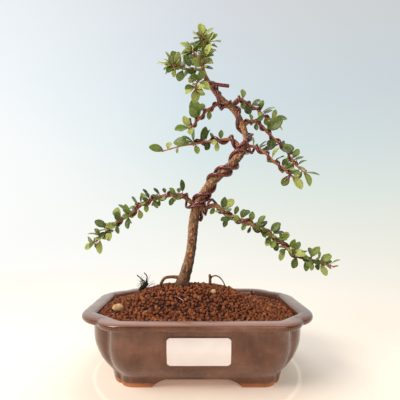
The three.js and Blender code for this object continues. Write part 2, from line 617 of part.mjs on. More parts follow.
// The soil fills the pot; its top rises in a rough mound of grains
function makeSoil() {
  const random = randomFrom(11);
  const levels = INNER_WALL.slice(1).reverse();
  levels[0] = [FLOOR_TOP + SCREEN.thickness + 2 * GAP, levels[0][1] - SOIL_FOOT_SPREAD];
  const rings = levels.map((row) => innerOutline(row, WALL_GAP));
  const rim = innerOutline([SOIL_EDGE.front, INNER_WALL[0][1] + SOIL_RIM_INSET], WALL_GAP);
  for (let ring = SOIL_RINGS; ring > 0; ring -= 1) {
    const share = ring / SOIL_RINGS;
    rings.push(rim.map(([x, y]) => {
      const [px, py] = [x * share, y * share];
      const relief = ring === SOIL_RINGS ? 0 : (random() - 0.5) * 2 * GRAIN_RELIEF;
      return [px, py, soilHeight(px, py) + relief];
    }));
  }
  return solid(loft(rings));
}

// Two pale stones lie half sunk in the soil
const STONES = {
  stone_large: { at: [-65.8, -30, 57.5], size: [4.8, 3.6, 3.2], seed: 5, detail: 1 },
  stone_small: { at: [13.9, -20, 68.6], size: [2.4, 2.2, 2.1], seed: 9, detail: 0 },
};
function stoneGeometry({ at, size, seed, detail }, extra = 0) {
  const random = randomFrom(seed);
  const ball = new THREE.IcosahedronGeometry(1, detail);
  const geometry = mergeVertices(ball.deleteAttribute('normal').deleteAttribute('uv'));
  const position = geometry.attributes.position;
  for (let i = 0; i < position.count; i += 1) {
    const rough = 0.88 + 0.2 * random();
    position.setXYZ(
      i,
      at[0] + position.getX(i) * (size[0] * rough + extra),
      at[1] + position.getY(i) * (size[1] * rough + extra),
      at[2] + position.getZ(i) * (size[2] * rough + extra),
    );
  }
  return geometry;
}

// A dark tuft of dry rootlets at the back left
const TUFT = [
  [[-55, 8, 60, 1.6], [-53.5, 8, 65.5, 2.2], [-50, 9, 68.5, 2], [-47.5, 10, 70, 1]],
  [[-50, 9, 68, 1.1], [-50.5, 8, 72, 0.7], [-54, 7, 75.5, 0.55], [-57.5, 7, 78.5, 0.5]],
  [[-50, 9, 68, 1.1], [-48.6, 8.6, 73, 0.7], [-48.3, 8, 77.5, 0.5], [-51, 8, 80.5, 0.5]],
];
const tuftSolids = (extra) => TUFT.map((rows) => solid(tube(rows, 4, extra)));

// The blank label follows the bulge of the front wall
function makeLabel() {
  const { x, halfWidth, low, high, corner, thickness } = LABEL;
  const rows = [[low, corner], [low + corner, 0], [(low + high) / 2, 0], [high - corner, 0], [high, corner]];
  const rings = rows.map(([z, cut]) => {
    const back = -(POT_HALF_DEPTH - wallInset(z)) - WALL_GAP;
    const half = halfWidth - cut;
    return [
      [x - half, back, z], [x - half, back - thickness, z],
      [x + half, back - thickness, z], [x + half, back, z],
    ];
  });
  return solid(loft(rings));
}

// Every limb and root as a row of balls, for keeping wires and leaves clear
const GUIDE_ROWS = 12;
function balls(rows, spacing) {
  const line = sampleSpline(rows, 0, rows.length - 1, GUIDE_ROWS);
  return resample(line.map((row) => row.slice(0, 4)), spacing);
}

// A wire's line: turns about the limbs it follows, drawn tight over them
const GUIDE_SPACING = 1.2;
const GUIDE_SMOOTHING = 15;
const TIGHTENING = { rounds: 90, pull: 0.3, settle: 12, lastPull: 0.04 };

function smoothLine(points, rounds, pull) {
  let line = points;
  for (let round = 0; round < rounds; round += 1) {
    line = line.map((p, i) => (i === 0 || i === line.length - 1
      ? p : mix(p, mix(line[i - 1], line[i + 1], 0.5), pull)));
  }
  return line;
}

// The ball that a point lies deepest in, or nearest to
function nearestBall(point, obstacles, reach) {
  let nearest = { depth: -Infinity };
  for (const ball of obstacles) {
    const dx = point[0] - ball[0];
    const dy = point[1] - ball[1];
    const dz = point[2] - ball[2];
    const distance = Math.sqrt(dx * dx + dy * dy + dz * dz);
    const depth = ball[3] + reach - distance;
    if (depth > nearest.depth) {
      nearest = { depth, away: [dx / distance, dy / distance, dz / distance] };
    }
  }
  return nearest;
}

// Wood pushes a wire straight off, and an earlier wire lifts it further from the wood
function pushedOut(point, woodBalls, earlierWires, reach) {
  const wood = nearestBall(point, woodBalls, reach);
  const clear = wood.depth > 0 ? add(point, scale(wood.away, wood.depth)) : point;
  const wire = nearestBall(clear, earlierWires, reach);
  return wire.depth > 0 ? add(clear, scale(wood.away, wire.depth)) : clear;
}

function wireLine(wire, woodBalls, earlierWires) {
  const guide = [];
  for (const { limb, from, to, pitch, hand } of wire.route) {
    const rows = sampleSpline(LIMBS[limb], from, to, GUIDE_ROWS);
    guide.push(...rows.map((row) => [...row.slice(0, 4), hand / pitch]));
  }
  const line = smoothLine(resample(guide, GUIDE_SPACING), GUIDE_SMOOTHING, 0.5);
  const directions = tangents(line);
  const sideways = sideVectors(directions);
  let angle = radians(wire.phase);
  let points = line.map((row, i) => {
    if (i > 0) {
      angle += 2 * Math.PI * row[4] * length(sub(row, line[i - 1]).slice(0, 3));
    }
    const up = cross(directions[i], sideways[i]);
    const out = add(scale(sideways[i], Math.cos(angle)), scale(up, Math.sin(angle)));
    return add(row.slice(0, 3), scale(out, row[3] + wire.radius + WIRE_GAP));
  });
  points = [...(wire.head ?? []), ...points, ...(wire.tail ?? [])];
  points = resample(points, GUIDE_SPACING);
  const reach = wire.radius + WIRE_GAP;
  for (let round = 0; round < TIGHTENING.rounds; round += 1) {
    const pull = round < TIGHTENING.rounds - TIGHTENING.settle ? TIGHTENING.pull : TIGHTENING.lastPull;
    points = smoothLine(points, 1, pull).map((p) => pushedOut(p, woodBalls, earlierWires, reach));
  }
  return points;
}

// One leaf: folded along its rib, with a keel below, widest past its middle and pointed at
// both ends
const LEAF_STATIONS = [0.46, 0.8];
const LEAF_KEEL = 0.4;
const LEAF_OUTLINE = { belly: 1.25, fullness: 0.6 };

function leafHalfWidth(s, width) {
  const swell = Math.max(0, Math.sin(Math.PI * Math.pow(s, LEAF_OUTLINE.belly)));
  return (width / 2) * Math.pow(swell, LEAF_OUTLINE.fullness);
}

function leafPoint(leaf, s, t) {
  const half = leafHalfWidth(s, leaf.width) * t;
  const lift = leaf.fold * Math.abs(half) - leaf.droop * leaf.length * s * s;
  return add(add(leaf.base, scale(leaf.along, leaf.length * s)),
    add(scale(leaf.side, half), scale(leaf.normal, lift)));
}

function leafSolid(leaf) {
  const keel = scale(leaf.normal, LEAF_KEEL);
  const rings = LEAF_STATIONS.map((s) => [
    leafPoint(leaf, s, -1), leafPoint(leaf, s, 1), sub(leafPoint(leaf, s, 0), keel),
  ]);
  return solid(loft(rings, { root: leaf.base, tip: leafPoint(leaf, 1, 0) }));
}

// The least room between some points of a leaf and the balls that stand around it
const BLADE_PROBES = [
  [0.26, -1], [0.26, 1], [0.5, -1], [0.5, 0], [0.5, 1], [0.76, -1], [0.76, 0], [0.76, 1],
  [0.92, -0.8], [0.92, 0.8], [1, 0],
];
const STALK_PROBES = [[0.1, 0], [0.18, 0]];
const PROBE_RADIUS = 0.5;
const LEAF_BALL_RADIUS = 0.9;

function roomAround(leaf, probes, obstacles) {
  let least = Infinity;
  for (const [s, t] of probes) {
    const p = leafPoint(leaf, s, t);
    for (const ball of obstacles) {
      const dx = p[0] - ball[0];
      const dy = p[1] - ball[1];
      const dz = p[2] - ball[2];
      least = Math.min(least, Math.sqrt(dx * dx + dy * dy + dz * dz) - ball[3]);
    }
  }
  return least - PROBE_RADIUS;
}

// The leaves of a tuft spread from a short stretch of the limb, each a golden angle on from
// the last, and turn or open further where something is in the way
const GOLDEN_ANGLE = 137.5;
const LEAF_TRIES = 24;
const ROOM_WANTED = 0.5;
const BASE_STEP = 1.7;
const REACH_SHARE = 0.5;
const ROOT_DEPTH = 1;
const OPEN_STEP = 11;
const AIM_STEP = 6;
const END_DEPTH = 1.2;
const TURN_STEP = 47;
const SLIDE_STEP = 0.7;
const LIGHT = [0, -0.7, 0.45];
const FORWARD_TILT = 0.6;
const FACING_JITTER = 0.9;
// What the seeded draws pick from: shares of the length, shares of it across, degrees, slopes
const LEAF_RANGE = {
  length: [0.82, 1.15], width: [0.54, 0.74], open: [32, 60], fold: [0.2, 0.6], droop: [0.08, 0.2],
};
const within = ([low, high], draw) => low + (high - low) * draw;

function leafOnTuft(tuft, k, random, obstacles, wires) {
  const draws = Array.from({ length: 7 }, random);
  const shift = (tuft.atEnd ? -k : k - (tuft.leaves - 1) / 2) * BASE_STEP;
  const bladeLength = tuft.leafLength * within(LEAF_RANGE.length, draws[4]);
  let best = null;
  for (let attempt = 0; attempt < LEAF_TRIES; attempt += 1) {
    const slide = ((attempt % 5) * SLIDE_STEP * (attempt % 2 ? -1 : 1));
    const row = splineAt(tuft.rows, Math.min(tuft.u + (shift + slide) / tuft.spacing, tuft.last));
    const turn = radians(tuft.turn + GOLDEN_ANGLE * k + TURN_STEP * attempt);
    const open = k === 0 ? AIM_STEP * (attempt % 4)
      : within(LEAF_RANGE.open, draws[0]) + OPEN_STEP * (attempt % 4);
    const around = add(scale(tuft.side, Math.cos(turn)), scale(tuft.up, Math.sin(turn)));
    const along = unit(add(
      scale(tuft.direction, Math.cos(radians(open))), scale(around, Math.sin(radians(open))),
    ));
    const jitter = draws.slice(1, 4).map((v) => (v - 0.5) * FACING_JITTER);
    const normal = across(add(add(scale(tuft.direction, FORWARD_TILT), LIGHT), jitter), along);
    const leaf = {
      along,
      normal,
      side: cross(along, normal),
      length: bladeLength + tuft.reach,
      width: bladeLength * within(LEAF_RANGE.width, draws[5]),
      fold: within(LEAF_RANGE.fold, draws[6]),
      droop: within(LEAF_RANGE.droop, draws[0]),
      base: add(row.slice(0, 3), scale(along, Math.max(0, row[3] - ROOT_DEPTH))),
    };
    const room = Math.min(
      roomAround(leaf, BLADE_PROBES, obstacles), roomAround(leaf, STALK_PROBES, wires), ROOM_WANTED,
    );
    if (!best || room > best.room) {
      best = { room, leaf };
    }
    if (room >= ROOM_WANTED) {
      break;
    }
  }
  return best.leaf;
}

function leavesOf(limb, obstacles, wires, seed) {
  const rows = LIMBS[limb];
  return (TUFTS[limb] ?? []).flatMap(([u, angle, towards, reach, leaves, leafLength], number) => {
    const random = randomFrom(seed * 1000 + number);
    const [a, b] = [radians(angle), radians(towards)];
    const direction = [Math.cos(a) * Math.cos(b), -Math.sin(b), Math.sin(a) * Math.cos(b)];
    const side = unit(cross(direction, Math.abs(direction[1]) < 0.8 ? [0, 1, 0] : [0, 0, 1]));
    const last = rows.length - 1;
    const tuft = {
      rows, u, leaves, leafLength, direction, side,
      reach: reach * REACH_SHARE,
      up: cross(direction, side),
      spacing: rowSpacing(rows, u),
      last: last - END_DEPTH / rowSpacing(rows, last),
      atEnd: u > last - 0.3,
      turn: 360 * random(),
    };
    return Array.from({ length: leaves }, (_, k) => {
      const leaf = leafOnTuft(tuft, k, random, obstacles, wires);
      obstacles.push(...BLADE_PROBES.map(([s, t]) => [...leafPoint(leaf, s, t), LEAF_BALL_RADIUS]));
      return leaf;
    });
  });
}

// Build the pieces
const allRows = { ...LIMBS, ...ROOTS };
const limbBalls = Object.values(allRows).flatMap((rows) => balls(rows, GUIDE_SPACING));

const wireLines = {};
const wireBalls = [];
for (const [name, wire] of Object.entries(WIRES)) {
  wireLines[name] = wireLine(wire, limbBalls, wireBalls);
  wireBalls.push(...wireLines[name].map((p) => [...p, wire.radius]));
}
const wireSolid = (name, extra = 0) => {
  const { radius, step, sides } = WIRES[name];
  return solid(tube(resample(wireLines[name], step).map((p) => [...p, radius]), sides, extra));
};

const TRUNK_SIDES = 8;
const LIMB_SIDES = 6;
const ROOT_SIDES = 4;
function woodSolid(extra = 0) {
  const { trunk, ...collars } = BARE_END;
  const parts = [solid(tube(sampleSpline(LIMBS.trunk, 0, trunk, 1.4), TRUNK_SIDES, extra))];
  for (const [limb, end] of Object.entries(collars)) {
    parts.push(solid(tube(sampleSpline(LIMBS[limb], 0, end, 1), LIMB_SIDES, extra)));
  }
  for (const [name, rows] of Object.entries(ROOTS)) {
    const sides = name === 'arch' ? LIMB_SIDES : ROOT_SIDES;
    parts.push(solid(tube(sampleSpline(rows, 0, rows.length - 1, 1), sides, extra)));
  }
  return largestBody(joined(parts));
}

const wood = woodSolid();
let soil = makeSoil().subtract(woodSolid(GAP)).subtract(anchorTube(GAP));
for (const stone of Object.values(STONES)) {
  soil = soil.subtract(solid(stoneGeometry(stone, GAP)));
}
soil = largestBody(soil.subtract(joined(tuftSolids(GAP))));

const leafObstacles = [...limbBalls, ...wireBalls];
const sprays = {};
let seed = 1;
for (const [name, limbs] of Object.entries(SPRAYS)) {
  const parts = [];
  for (const limb of limbs) {
    const rows = LIMBS[limb];
    const end = BARE_END[limb] ?? 0;
    const start = end && end + GAP / rowSpacing(rows, end);
    parts.push(solid(tube(sampleSpline(rows, start, rows.length - 1, 0.7), LIMB_SIDES)));
    parts.push(...leavesOf(limb, leafObstacles, wireBalls, seed).map(leafSolid));
    seed += 1;
  }
  let spray = joined(parts);
  for (const wire of Object.keys(WIRES)) {
    spray = spray.subtract(wireSolid(wire, LEAF_GAP));
  }
  sprays[name] = largestBody(spray);
}

// Assemble
const object = new THREE.Group();

function piece(name, body, [color, roughness]) {
  const material = new THREE.MeshStandardMaterial({ color, roughness, metalness: 0 });
  const mesh = new THREE.Mesh(geometryOf(body), material);
  mesh.name = name;
  object.add(mesh);
}

piece('pot', makePot(), FINISHES.glaze);
piece('drain_screen_left', makeScreen(-DRAIN_X), FINISHES.screen);
piece('drain_screen_right', makeScreen(DRAIN_X), FINISHES.screen);
piece('anchor_wire', anchorTube(), FINISHES.wire);
piece('soil', soil, FINISHES.soil);
for (const [name, stone] of Object.entries(STONES)) {
  piece(name, solid(stoneGeometry(stone)), FINISHES.stone);
}
piece('dry_root_tuft', largestBody(joined(tuftSolids(0))), FINISHES.tuft);
piece('label', makeLabel(), FINISHES.paper);
piece('trunk', wood, FINISHES.bark);
for (const name of Object.keys(WIRES)) {
  piece(name, wireSolid(name), FINISHES.wire);
}
for (const [name, body] of Object.entries(sprays)) {
  piece(name, body, FINISHES.leaf);
}

const bounds = new THREE.Box3().setFromObject(object);
const centre = bounds.getCenter(new THREE.Vector3());
object.position.set(-centre.x, -centre.y, -bounds.min.z);

export default object;
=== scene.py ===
# The looks of a wired cotoneaster bonsai in a glazed tray pot. Lengths are millimetres from
# the middle of the pot, at the level of its feet, until placed() puts them in the frame.
import math
import bpy
import numpy as np
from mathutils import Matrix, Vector, kdtree, noise


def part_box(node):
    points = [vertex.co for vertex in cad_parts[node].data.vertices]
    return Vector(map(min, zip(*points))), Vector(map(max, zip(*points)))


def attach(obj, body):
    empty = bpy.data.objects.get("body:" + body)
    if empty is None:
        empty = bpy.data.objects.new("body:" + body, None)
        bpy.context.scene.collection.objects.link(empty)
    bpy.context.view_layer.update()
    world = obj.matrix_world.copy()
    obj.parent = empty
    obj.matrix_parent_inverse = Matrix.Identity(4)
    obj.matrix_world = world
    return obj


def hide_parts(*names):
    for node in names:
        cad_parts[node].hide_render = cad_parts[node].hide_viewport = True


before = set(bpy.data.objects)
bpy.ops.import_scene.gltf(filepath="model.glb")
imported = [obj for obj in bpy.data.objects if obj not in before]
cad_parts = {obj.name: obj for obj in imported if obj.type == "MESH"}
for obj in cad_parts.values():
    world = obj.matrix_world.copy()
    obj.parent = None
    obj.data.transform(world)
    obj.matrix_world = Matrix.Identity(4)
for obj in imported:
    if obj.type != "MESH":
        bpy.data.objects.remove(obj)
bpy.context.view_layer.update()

MM = 0.001
screen_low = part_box("drain_screen_left")[0]
screen_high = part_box("drain_screen_right")[1]
POT_CENTRE = np.array([(screen_low.x + screen_high.x) / 2, (screen_low.y + screen_high.y) / 2, 0.0])

# Camera: place, degrees it is tilted upwards, and focal length for a 36 mm sensor
CAMERA_AT = (2.3, -302.0, 125.0)
CAMERA_PITCH = 4.65
CAMERA_LENS = 28.8

# Pot
POT_HALF_WIDTH = 95.5
POT_HALF_DEPTH = 69.5
FOOT_HEIGHT = 7.0
FOOT_WIDTH = 9.5
FLOOR_TOP = 11.0
FRONT_ARCH = {"top": 23.0, "bottom": 35.0}
SIDE_ARCH = {"top": 10.2, "bottom": 21.0}
DRAIN_RADIUS = 6.0
DRAIN_X = 32.0
NOTCH_STRETCH = {"left": (1.5, 1.1), "right": (1.14, 1.15)}
ROUND_STRETCH = (1.0, 1.5)
ARC_SHARE = 0.75
SPREAD = {"from": -30.0, "middle": 40.0, "left": 0.05, "back": 0.0004}
CORNER_STEPS = 12
SIDE_STEPS = 12
# Outer wall: height, distance in from the lip, notch depth, corner radius
OUTER_WALL = [
    (0, 27, 6, 9), (8, 24.2, 7, 11), (12, 21, 8, 12.5), (17, 17, 9, 14), (24, 12.8, 10.5, 15),
    (33, 9.4, 12, 16), (47.4, 8, 13, 16.5),
]
# The rounded lip: the same, from the groove under it to its top
LIP = [
    (48.2, 7.2, 13, 16.5), (48.8, 5.4, 13, 16.5), (49.3, 3.2, 13, 16.5), (50.0, 1.4, 13.2, 16.8),
    (51.0, 0.5, 13.4, 17), (52.4, 0.2, 13.5, 17), (53.6, 0.4, 13.5, 17), (54.5, 1.1, 13.5, 17),
    (55.0, 2.3, 13.5, 17), (55.2, 4.2, 13.5, 17),
]
# Inner wall from the lip down: height, distance in from the lip
INNER_WALL = [
    (55.3, 8.2), (55.1, 10.2), (54.6, 11.3), (53.6, 11.9), (51, 12.3), (44, 13.4), (24, 18.5),
    (FLOOR_TOP, 30),
]
INNER_CORNER = {"left": (28.0, 24.0), "right": (22.0, 22.0)}
INNER_END_INSET = 1.0
ARCH_STEPS = 12
ARCH_FLARE = 1.25
ARCH_CROWN = 1.5
SOFT_EDGE = {"angle": 50, "width": 0.5}
# Marks in the glaze: red lines where it runs thin over the lip's two edges, a painted highlight
# of pale mauve on the top of the lip, strongest in front, and the ragged line where the bare clay of
# the feet ends
THIN_LINES = {"upper": 54.4, "lower": 49.4, "width": 0.5, "lower_share": 0.5}
PAINTED_LIP_HIGHLIGHT = {"above": 54.3, "elsewhere": 0.35, "front": 48.0, "fade": 10.0}
BARE_CLAY = {"height": 2.6, "ragged": 1.6}

# Soil
SOIL_EDGE = {"front": 52.5, "back": 48.5}
MOUND = {"rise": 20.5, "x": -8, "y": 2, "spreadX": 58, "spreadY": 40, "powerX": 3.2, "powerY": 2.6}
# The bed of fine soil under the grains: height and distance in from the lip, up to its rim
BED_WALL = [(13.2, 28.8), (24, 18.5), (44, 13.4), (50, 12.6)]
BED_CLEARANCE = 0.3
BED_UNDER_GRAINS = 2.0
# Grains: smallest and largest radius and how many of each size are tried
GRAIN_SIZES = [(1.7, 2.5, 240), (1.1, 1.6, 7500), (0.7, 1.0, 8000)]
SMALL_GRAIN = 1.05
LARGE_GRAIN = 1.9
GRAIN_SHAPES = {"fine": 14, "rough": 6}
GRAIN_FORM = {"lumps": 0.32, "dents": 0.13, "stretch": (0.74, 1.14)}
GRAIN_RIM = {"height": 52, "inset": 12.3, "clear": 0.1}
GRAIN_FIELD = {"x": (-88, 84), "y": (-60, 62)}
GRAIN_CELL = 5.2
# How close grains may stand, as shares of their radii, to the wall and to each other, how far
# they may press into wood and stones, and how deep they lie
GRAIN_FIT = {"wall": 0.75, "apart": 0.8, "press": 0.3, "sunk": 0.35, "uneven": (-0.4, 0.7)}
SMALL_GRAIN_SUNK = 0.9
GRAIN_TONE = {"middle": 0.55, "spread": 0.23, "small": -0.15, "large": 0.05}

# Wires
WIRE_GAP = 0.65
WIRE_REST = 0.08
TRUNK_WIRE_RADIUS = 1.75
BRANCH_WIRE_RADIUS = 1.25
ANCHOR_WIRE_RADIUS = 0.9

# Label
LABEL = {"x": 1.5, "halfWidth": 23.5, "low": 22, "high": 43.8, "corner": 2, "thickness": 0.6}
WALL_GAP = 0.45

# Limbs of the tree: x, y, z and radius, from root or trunk to tip
LIMBS = {
    "trunk": [
        (-16, 0, 63, 7.6), (-14, 0, 71, 6.3), (-11.4, 0, 80.5, 5.4), (-7.8, 0, 93.4, 4.8),
        (-5.4, 1, 108, 4.6), (-4.3, 1, 123, 4.7), (-2.4, 1, 136.3, 4.9), (0.9, 0, 145.7, 4.7),
        (6.1, -2, 156, 4.3), (12.6, -5, 165, 4.1), (21.9, -7, 173.3, 4), (31.3, -6, 182, 4.1),
        (38.2, -4, 190, 4), (44.4, -1, 199.4, 3.5), (46.8, 2, 210, 3), (44.8, 4, 220.5, 2.9),
        (40.6, 5, 230.8, 3), (34.7, 4, 239.5, 3.1), (26.7, 2, 245.8, 2.9), (18.8, 0, 253, 2.7),
        (13, -2, 260.2, 2.5), (8.1, -4, 267.2, 2.3), (5.2, -6, 275.2, 1.8), (5.2, -6, 285.2, 1.5),
        (8.1, -5, 295.8, 1.2), (10.1, -4, 304.5, 0.9),
    ],
    "lower_left": [
        (-0.5, 0, 142.9, 2.4), (-9, -3, 149.8, 2.3), (-13.5, -5, 152.9, 2.2), (-19, -7, 153.6, 2),
        (-25.3, -9, 153.4, 1.8), (-31.5, -11, 151.9, 1.7), (-38.5, -13, 150.3, 1.6),
        (-45.4, -15, 147, 1.5), (-51.2, -17, 143.2, 1.4), (-56.3, -18, 138.3, 1.3),
        (-61.3, -19, 133.8, 1.2), (-67.2, -20, 130.3, 1.1), (-73.3, -20, 126.3, 1),
        (-78.4, -20, 121.9, 1), (-82.7, -20, 117.1, 0.9), (-87, -20, 113.2, 0.8),
        (-91.3, -20, 110.2, 0.7),
    ],
    "lower_right": [
        (0.4, 1, 140.1, 2.4), (7, 0, 141.5, 2.3), (12.7, -1, 143.8, 2.1), (17.3, -2, 144.2, 2),
        (20.9, -4, 141.3, 1.9), (25.4, -6, 136.5, 1.8), (31.7, -8, 132.3, 1.8),
        (38.7, -10, 130.4, 1.8), (45.7, -12, 128.2, 1.7), (51.6, -14, 124.6, 1.6),
        (56.6, -16, 120.6, 1.5), (61.5, -18, 118.8, 1.4), (66.3, -20, 116.3, 1.4),
        (70.9, -22, 112, 1.3), (76.6, -23, 106.5, 1.2), (82.3, -24, 101.9, 1.2),
        (87.9, -25, 98.5, 1.1), (94.4, -26, 96.5, 1), (101.1, -26, 95.3, 0.9),
        (107.1, -26, 93.6, 0.8), (115.5, -26, 90.6, 0.6),
    ],
    "middle_left": [
        (40.5, -2, 193.5, 2), (39.8, 1, 200.1, 1.9), (38.1, 3, 205, 1.8), (34.5, 5, 208.7, 1.7),
        (29.8, 7, 210.1, 1.6), (22, 9, 209.6, 1.5), (12.2, 10, 208.9, 1.3), (2.3, 11, 207.7, 1.2),
        (-5.7, 12, 206.6, 1), (-14.7, 13, 205.3, 0.8), (-22.8, 14, 203.5, 0.7),
        (-34.8, 14, 200, 0.6),
    ],
    "right_low": [
        (45.5, -1, 202.3, 1.6), (52.3, -5, 199.8, 1.4), (56.5, -8, 197.1, 1.3),
        (60.5, -11, 193.6, 1.2), (64.6, -13, 189.4, 1.1), (68.9, -14, 184.1, 1.1),
        (74, -15, 179.6, 1), (78.2, -16, 176.1, 0.9), (82.4, -17, 172.3, 0.8),
        (85.6, -18, 168.7, 0.7),
    ],
    "right_middle": [
        (42.4, 4, 221.5, 1.9), (46.5, 5, 224.8, 1.8), (50.7, 7, 227.7, 1.8), (56, 9, 228.8, 1.7),
        (61.3, 11, 227, 1.6), (66.5, 12, 222.7, 1.5), (71.6, 13, 217.1, 1.3),
        (77.8, 14, 211.5, 1.2), (83.7, 14, 206.4, 1.1), (88.6, 14, 200.8, 1),
        (92.5, 14, 193.9, 0.9), (96, 13, 187.6, 0.8), (100.6, 12, 182.4, 0.7),
        (106.1, 11, 177.2, 0.6),
    ],
    "right_top": [
        (30.8, 3, 241, 1.8), (35.1, 7, 246.3, 1.6), (39.4, 10, 251.3, 1.5), (42.7, 12, 253.1, 1.4),
        (47, 14, 251.6, 1.3), (52.4, 16, 248.7, 1.2), (58.8, 18, 245.8, 1.1),
        (64.1, 19, 241.7, 1), (69.3, 20, 237.3, 0.9), (77.5, 20, 232.8, 0.7),
    ],
    "upper_left": [
        (22.8, 1, 248.4, 1.7), (18.2, 4, 243.7, 1.5), (12.8, 6, 241.1, 1.4), (8, 7, 237.8, 1.3),
        (2.8, 8, 232.5, 1.1), (-1.4, 8, 228.1, 1), (-5.1, 8, 223.8, 0.9), (-8.3, 8, 221.4, 0.7),
    ],
    "apex_left": [
        (5.4, -6, 273.5, 1.4), (0.4, -10, 272.7, 1.1), (-6.1, -14, 271.2, 1),
        (-13.5, -16, 270.6, 0.9), (-19.9, -17, 272.2, 0.8), (-25.5, -17, 274.6, 0.6),
    ],
    "apex_back": [
        (5.2, -6, 282, 1.1), (1.8, -1, 288.9, 0.9), (-2.7, 3, 295.8, 0.8), (-6.7, 5, 300.5, 0.6),
    ],
    "apex_low": [
        (7, -5, 269.5, 1.3), (3.2, -10, 265.5, 1), (-0.5, -13, 258.1, 0.8), (-1.9, -15, 250.5, 0.6),
    ],
    "apex_top": [
        (8.1, -5, 295.8, 1), (5.6, -8, 300.2, 0.8), (3.9, -9, 303.4, 0.7), (3.6, -9, 306.8, 0.6),
    ],
}
# Roots: one arches over the soil, a cut stub stands up, the others spread below the surface
ROOTS = {
    "arch": [
        (-13, 0, 73.5, 2.7), (-16.5, -1, 76.8, 2.1), (-20.5, -2, 78.1, 1.7),
        (-24.4, -3, 78.4, 1.5), (-29.8, -4, 77.5, 1.5), (-32.8, -5, 73.5, 1.5), (-35, -6, 66, 1.6),
        (-38, -8, 56, 1.2),
    ],
    "stub": [
        (-12, 0, 66, 3.2), (1, 0.5, 62.5, 2.4), (10, 0.5, 64.5, 1.8), (11.6, 0, 71.5, 1.5),
        (11.3, 0, 80.5, 1.3),
    ],
    "surface_loop": [
        (11.5, 0.2, 74.5, 0.8), (13.6, 0, 78.2, 0.8), (17.2, 0, 79, 0.8), (21, 0.5, 77, 0.75),
        (24.6, 1, 72, 0.7), (26.5, 1, 65.5, 0.7),
    ],
    "spread_left": [(-14, 0, 62, 3.6), (-50, 14, 40, 1.2)],
    "spread_right": [(-14, 0, 62, 3.6), (40, -3, 38, 1.2)],
    "spread_front": [(-14, 0, 62, 3.6), (-12, -34, 36, 1.2)],
    "spread_back": [(-14, 0, 62, 3.6), (4, 34, 36, 1.2)],
}
# Where the leafy stretch of each limb starts; the stretch before it belongs to the trunk
BARE_END = {
    "trunk": 21, "lower_left": 1.6, "lower_right": 1.7, "middle_left": 2.2, "right_low": 0.9,
    "right_middle": 1.6, "right_top": 1.5, "upper_left": 1.2,
}
